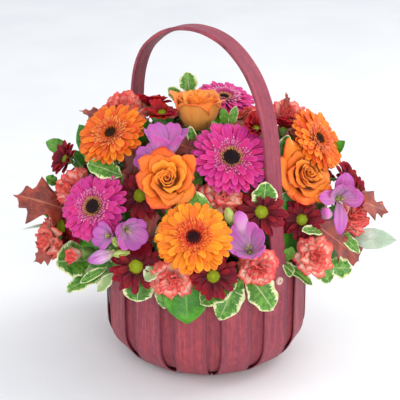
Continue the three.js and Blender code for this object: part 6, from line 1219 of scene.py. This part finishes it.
def area(name, loc, aim, size, power, colour=(1, 1, 1)):
    d = bpy.data.lights.new(name, "AREA"); d.energy = power; d.size = size; d.color = colour
    o = bpy.data.objects.new(name, d); scene.collection.objects.link(o); o.location = loc
    o.rotation_euler = (Vector(aim) - Vector(loc)).to_track_quat("-Z", "Y").to_euler()
    return o


area("key", (.95, .25, 1.35), (0, 0, .17), .95, 12.0, (1, .985, .96))
area("front_fill", (.50, -1.65, .75), (0, 0, .15), .9, 14.0, (1, .99, .98))
area("left_fill", (-1.3, -.3, .8), (0, 0, .15), .9, 3.2, (.96, .98, 1))

fm = Mat("floor_pale", .6, .25)
fcol = fm.mix(fm.ramp(fm.noise(6, 2), .3, .7), lin((240, 242, 245)), lin((245, 246, 248)))
fm.done(fcol, None, fm.bump(fm.noise(300, 2), .00005))
fv = [(-6, -4, 0), (6, -4, 0), (6, 9, 0), (-6, 9, 0)]
fme = bpy.data.meshes.new("floor"); fme.from_pydata(fv, [], [(0, 1, 2, 3)]); fme.update(); fme.materials.append(fm.m)
floor = bpy.data.objects.new("floor", fme); scene.collection.objects.link(floor)

# ------------------------------------------------------------------ finishes
GREEN = green_material("calyx_green", (86, 126, 52), (122, 156, 74), (66, 104, 40))
STEM = green_material("stem_green", (70, 112, 44), (102, 142, 62), (54, 88, 34), .55)
BUDG = green_material("bud_green", (164, 192, 84), (196, 212, 122), (136, 168, 62), .45, .25)
RAY = {
  "pink": petal_material("gerbera_ray_pink", [(0, (150, 4, 84)), (.28, (200, 14, 116)), (.72, (216, 30, 131)), (1, (228, 60, 150))], (172, 4, 98), .4, edge=(240, 110, 184), edge_amt=.25, edge_lo=.65),
  "orange": petal_material("gerbera_ray_orange", [(0, (212, 50, 2)), (.3, (236, 84, 4)), (.75, (247, 108, 8)), (1, (249, 122, 18))], (226, 66, 2), .30, edge=(251, 150, 50), edge_amt=.22, edge_lo=.7),
  "yellow": petal_material("gerbera_ray_yellow", [(0, (222, 60, 8)), (.2, (240, 104, 8)), (.55, (249, 127, 5)), (1, (251, 139, 10))], (238, 104, 4), .30, edge=(253, 172, 40), edge_amt=.25, edge_lo=.7),
}
FLORET = {
  "pink": petal_material("gerbera_floret_pink", [(0, (130, 4, 70)), (.62, (190, 14, 108)), (.82, (226, 70, 150)), (1, (252, 214, 230))], (150, 8, 84), .3, edge=(250, 190, 216), edge_amt=.3, scale=(8, 2), tone_dark=((180, 24, 84), .3)),
  "orange": petal_material("gerbera_floret_orange", [(0, (190, 40, 0)), (.62, (226, 76, 6)), (.84, (244, 116, 30)), (1, (253, 190, 120))], (200, 50, 2), .3, edge=(252, 180, 110), edge_amt=.3, scale=(8, 2), tone_dark=((216, 66, 8), .3)),
  "yellow": petal_material("gerbera_floret_red", [(0, (190, 30, 6)), (.6, (226, 58, 10)), (.85, (240, 92, 20)), (1, (253, 184, 84))], (212, 46, 10), .3, edge=(250, 150, 60), edge_amt=.4, scale=(8, 2), tone_dark=((226, 66, 18), .2)),
}
EYE = {
  "pink": bead_material("gerbera_eye_pink", [(0, (24, 6, 12)), (.5, (34, 8, 16)), (.64, (70, 20, 20)), (.70, (150, 84, 40)), (.78, (206, 150, 90)), (.90, (224, 168, 110)), (1, (212, 110, 120))]),
  "orange": bead_material("gerbera_eye_orange", [(0, (40, 22, 8)), (.4, (58, 24, 6)), (.64, (84, 28, 6)), (.70, (190, 70, 14)), (.78, (240, 120, 30)), (.90, (236, 96, 20)), (1, (240, 170, 120))]),
  "yellow": bead_material("gerbera_eye_dark", [(0, (40, 6, 14)), (.4, (48, 5, 14)), (.62, (66, 6, 20)), (.70, (120, 18, 30)), (.78, (200, 40, 22)), (.90, (228, 70, 20)), (1, (250, 180, 120))]),
}
ROSE = petal_material("rose_petal", [(0, (248, 182, 56)), (.35, (250, 149, 42)), (.75, (250, 126, 30)), (1, (250, 112, 24))], (240, 104, 24), .34, .5, .30, edge=(238, 72, 44), edge_amt=.9, edge_lo=.66, edge_tone=True, vary=.07, hue=.008, scale=(13, 1.7), tone_dark=((250, 168, 44), .5))
ROSE_PALE = petal_material("rose_petal_pale", [(0, (252, 182, 76)), (.25, (255, 166, 80)), (.65, (255, 158, 74)), (.88, (254, 154, 60)), (1, (252, 138, 46))], (250, 112, 56), .5, .5, .30, edge=(244, 84, 50), edge_amt=.62, edge_lo=.74, edge_tone=True, vary=.04, hue=.006, scale=(22, 2.2), tone_dark=((252, 174, 60), .45))
CARN = petal_material("carnation_petal", [(0, (202, 50, 50)), (.32, (238, 112, 98)), (.5, (255, 202, 180)), (.8, (255, 208, 190)), (.93, (244, 118, 104)), (1, (232, 68, 64))], (234, 84, 76), .55, .55, .25, edge=(232, 72, 68), edge_amt=.64, edge_lo=.84, vary=.06, hue=.006, scale=(7, 1.0), tone_dark=((222, 60, 58), .62))
MUM = petal_material("chrysanthemum_ray", [(0, (50, 0, 8)), (.35, (96, 2, 18)), (.75, (134, 6, 30)), (1, (154, 12, 40))], (58, 0, 12), .5, .5, .10, edge=(196, 40, 66), edge_amt=.30, edge_lo=.86, vary=.3, hue=.006, scale=(14, 2.2), sheen=0.0)
# painted light: a lighter copy of the chrysanthemum ray colours for the top sprays, standing in for the light from
# above
MUM_PAINTED_LIT = petal_material("chrysanthemum_ray_painted_lit", [(0, (70, 0, 8)), (.3, (136, 2, 18)), (.75, (176, 8, 26)), (1, (192, 24, 38))], (96, 0, 14), .5, .5, .14, edge=(214, 60, 66), edge_amt=.35, edge_lo=.80, vary=.26, hue=.006, scale=(14, 2.2), sheen=0.0)
MUM_PAINTED_LIT.node_tree.nodes["Principled BSDF"].inputs["Specular IOR Level"].default_value = .22
MUM.node_tree.nodes["Principled BSDF"].inputs["Specular IOR Level"].default_value = .22
# the .5 after the roughness sets the painted highlight on the bead tips
DISC = bead_material("chrysanthemum_disc", [(0, (88, 104, 12)), (.3, (120, 138, 14)), (.65, (150, 164, 22)), (.88, (182, 172, 34)), (1, (160, 120, 34))], .55, .5, .12, scale=1100)
FREESIA = petal_material("freesia_tepal", [(0, (206, 208, 120)), (.22, (216, 180, 190)), (.45, (224, 170, 208)), (.75, (204, 120, 188)), (1, (188, 87, 174))], (156, 60, 154), .5, .5, .28, edge=(176, 70, 168), edge_amt=.35, edge_lo=.66, vary=.13, hue=.016, scale=(9, 1.3))
PITTO = leaf_material("pittosporum_leaf", "pitto"); PITTO_U = leaf_material("pittosporum_underside", "pitto_under")
PLAIN = leaf_material("small_leaf", "plain"); PLAIN_U = leaf_material("small_leaf_underside", "under")
SALAL = leaf_material("salal_leaf", "salal"); SALAL_P = leaf_material("salal_leaf_pale", "salal_pale")
OAK = leaf_material("oak_leaf", "oak"); OAK_U = leaf_material("oak_leaf_underside", "oak_under")
# the inner copy of the veneer carries painted shade for the recessed inner slats and the hoop
WOOD = wood_material("stained_veneer"); WOOD_IN = wood_material("stained_veneer_inner_shaded", .12)
WOOD_H = wood_material("stained_handle", handle=True); PEGW = wood_material("peg_end_grain", pale=True)

# ------------------------------------------------------------------ basket
for i, k in enumerate(ORDER):
    strip("outer_slat_%d" % (i + 1), "outer_strip_%d" % (i + 1), FIRST_AZ + k * PITCH, OUTER_W, 0.0, BASE_T + GAP + i * (STRIP_T + GAP), 100 + i, [WOOD])
    strip("inner_slat_%d" % (i + 1), "inner_strip_%d" % (i + 1), FIRST_AZ + (k + .5) * PITCH, INNER_W, INNER_IN, BASE_T + GAP + (STRIPS + i) * (STRIP_T + GAP), 200 + i, [WOOD_IN])
handle_piece([WOOD_H])
peg_piece(1, "peg_near_end", "peg_near", [PEGW]); peg_piece(-1, "peg_far_end", "peg_far", [PEGW])
hoop_piece([WOOD_IN]); liner_piece([liner_material()]); foam_piece([foam_material()])
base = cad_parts["base_board"]
board = Mat("base_board_wood", .6, .3)
sx = board.nt.nodes.new("ShaderNodeSeparateXYZ"); board.nt.links.new(board.obj(), sx.inputs[0])
g2 = board.noise(1.0, 4, .6, board.vec(board.mul(sx.outputs[0], 40.0), board.mul(sx.outputs[1], 900.0), board.mul(sx.outputs[2], 300.0)))
bcol = board.mix(board.ramp(g2, .35, .65), lin((132, 62, 72)), lin((88, 36, 48)))
board.done(bcol, board.ramp(g2, .3, .7, .5, .7), board.bump(g2, .0004))
base.data.materials.clear(); base.data.materials.append(board.m)

# ------------------------------------------------------------------ sprays
# which flowers each one tucks behind, by their place in the list
TUCK = {1: (45, 46), 26: (45, 47), 31: (48,), 18: (2, 3), 10: (5, 50), 12: (1,), 28: (9, 1), 9: (3,), 15: (0,), 43: (9,), 44: (9,), 22: (50,), 20: (48,), 19: (3,), 27: (3,), 16: (4,),
        34: (50,), 33: (50, 5), 32: (10,), 46: (45,), 37: (8,), 4: (8,), 39: (5,), 17: (5,), 49: (48,), 51: (50,)}
MUM_CLOSED = {("chrysanthemum_top", 21): .85, ("chrysanthemum_top", 19): .8, ("chrysanthemum_top", 20): .95, ("chrysanthemum_left", 20): .7, ("chrysanthemum_side", 20): .35}
FREESIA_CUP = {43: (.92, 6.0, 1.08, 3.4), 44: (.6, 0.0), 48: (.8, 0.0, 1.05, 3.4), 45: (.55, 0.0, 1.05, 3.4), 46: (.6, 0.0, 1.0, 3.4), 50: (.3, 0.0, .92, 1.3, 0.0, ((84, .18, 1.12, 1.0), (6, .12, .86, .92), (174, .05, 1.02, .80), (263, .02, 1.42, .66), (46, .95, .62, .8), (128, .95, .62, .8)))}
EYE_SIZE = {4: .125}
LIFT = {0: 3.0, 2: 6.0}
# petals of their own: azimuth, half width, radii, heights, tone, point, roll
ROSE_EXTRA = {
  "rose_right": [(math.pi * .66, .52, [5, 13, 20, 26, 32, 39], [-33, -26, -15, -5, 2.0, 7.0], .95, .16, 1.8), (math.pi * .97, .78, [5, 14, 21, 26.5, 31, 36], [-33, -26, -15, -6, -.5, 3.0], .85, .1, 2.4), (-math.pi * .62, .6, [5, 13, 19, 23.5, 28, 33], [-33, -27, -17, -9, -6, -5.5], .95, .12, 2.0)],
  "rose_centre": [(math.pi * .80, .5, [5, 12, 18.5, 22.5, 27.0, 32], [-33, -28, -19, -9, -4.5, -3.5], .95, .16, 1.6), (math.pi * .22, .5, [5, 12, 18.5, 22.5, 27.0, 32], [-33, -28, -19, -9, -4, -4], .8, .12, 1.6)],
  "rose_top": [(math.pi * .95, .7, [4, 12.8, 20.4, 23.4, 26, 32], [-42, -35, -22, -8, -.5, 2.8], 1.0, .2, 1.4), (-math.pi * .5, 1.45, [4, 13.6, 21.4, 24.0, 24.4, 26.4], [-42, -36, -24, -10, -3.4, -2.2], .8, -.10, .5)],
}
order = []
for h in HEADS + LEAVES:
    if h[0] not in order:
        order.append(h[0])
for ni, node in enumerate(order):
    heads = [h for h in HEADS if h[0] == node]; leaves = [l for l in LEAVES if l[0] == node]
    buf = Buf(); rng = np.random.RandomState(1000 + 7 * ni)
    kind = heads[0][1] if heads else leaves[0][1]
    col = heads[0][5] if heads else None
    mats = {"gerbera": lambda: [RAY[col], FLORET[col], EYE[col], GREEN], "rose": lambda: [ROSE_PALE if node in ("rose_top", "rose_back") else ROSE, GREEN], "carn": lambda: [CARN, GREEN], "mum": lambda: [MUM_PAINTED_LIT if node == "chrysanthemum_top" else MUM, DISC, GREEN],
            "freesia": lambda: [FREESIA, BUDG], "pitto": lambda: [PITTO, PITTO_U, PLAIN, PLAIN_U], "oak": lambda: [OAK, OAK_U], "salal": lambda: [SALAL, PLAIN_U, SALAL_P]}[kind]()
    mats = mats + [STEM]; sm = len(mats) - 1
    for hi, (nd, kd, p, n, R, c, bud) in enumerate(HEADS):
        if nd != node:
            continue
        hr = head_random(p)
        buf.over = [(np.array(HEADS[j][2], float), unit(HEADS[j][3]), HEADS[j][4], "goblet" if FREESIA_CUP.get(j, (0,))[0] > .5 else HEADS[j][1]) for j in TUCK.get(hi, ())]
        if kd == "gerbera":
            gerbera(buf, p, n, R, hr, hr.uniform(0, TAU), {"pink": .96, "orange": 1.04, "yellow": 1.12}[c], EYE_SIZE.get(hi, {"pink": .182, "orange": .152, "yellow": .140}[c]), LIFT.get(hi, 0.0))
        elif kd == "rose":
            rose(buf, p, n, R, hr, 0.0, "urn" if nd in ("rose_top", "rose_back") else "open", ROSE_EXTRA.get(nd))
        elif kd == "carn":
            carnation(buf, p, n, R, hr, hr.uniform(0, TAU), bool(bud))
        elif kd == "mum":
            mum(buf, p, n, R, hr, hr.uniform(0, TAU), MUM_CLOSED.get((nd, R), 0.0))
        elif bud:
            freesia_bud(buf, p, n, R, hr, bud == 2)
        else:
            freesia(buf, p, n, R, hr, hr.uniform(0, TAU), *FREESIA_CUP.get(hi, (.3, 0.0)))
    buf.over = (); buf.reach = (.96, .16)
    extra = [l for l in FILL if l[0] == node]
    for l in extra:
        b, t = np.array(l[2]), np.array(l[3]); inward = unit(CENTRE + [0, 0, -10] - b); q = b + inward * 34
        buf.tube([b + unit(t - b) * 2.5, b + inward * 7 - unit(t - b) * 3, b + inward * 18 - unit(t - b) * 3, q], [.8, .95, 1.05, 1.1], 6, sm, .5)
    for li, (nd, kd, b, t, f, w, u0, under, plain, pale, *front) in enumerate(leaves + extra):
        lr = head_random(b, 3)
        mid = (np.array(b) + np.array(t)) / 2
        buf.over = () if front or li < len(leaves) else [(np.array(h[2], float), unit(h[3]), h[4], h[1]) for h in HEADS if not h[6] and h[1] in ("rose", "carn") and np.linalg.norm(np.array(h[2]) - mid) < h[4] + 40]
        if kd == "pitto":
            a, u = (2, 3) if plain else ((1, 0) if under else (0, 1))
        elif kd == "oak":
            a, u = 0, 1
        else:
            a, u = (2, 1) if pale else (0, 1)
        leaf(buf, kd, b, t, f, w, lr, a, u, u0)
    buf.over = ()
    r, segs = STEMS[node]
    for (a, b) in segs:
        a = np.array(a, float); b = np.array(b, float); m = (a + b) / 2
        buf.tube([a, a * .7 + b * .3, m, a * .3 + b * .7, b], [r * .92, r * .96, r, r, r], 8, sm, rng.rand())
    ob = buf.build(node + "_bloom" if heads else node + "_leaves", mats)
    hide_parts(node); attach(ob, "root")

bpy.context.view_layer.update()
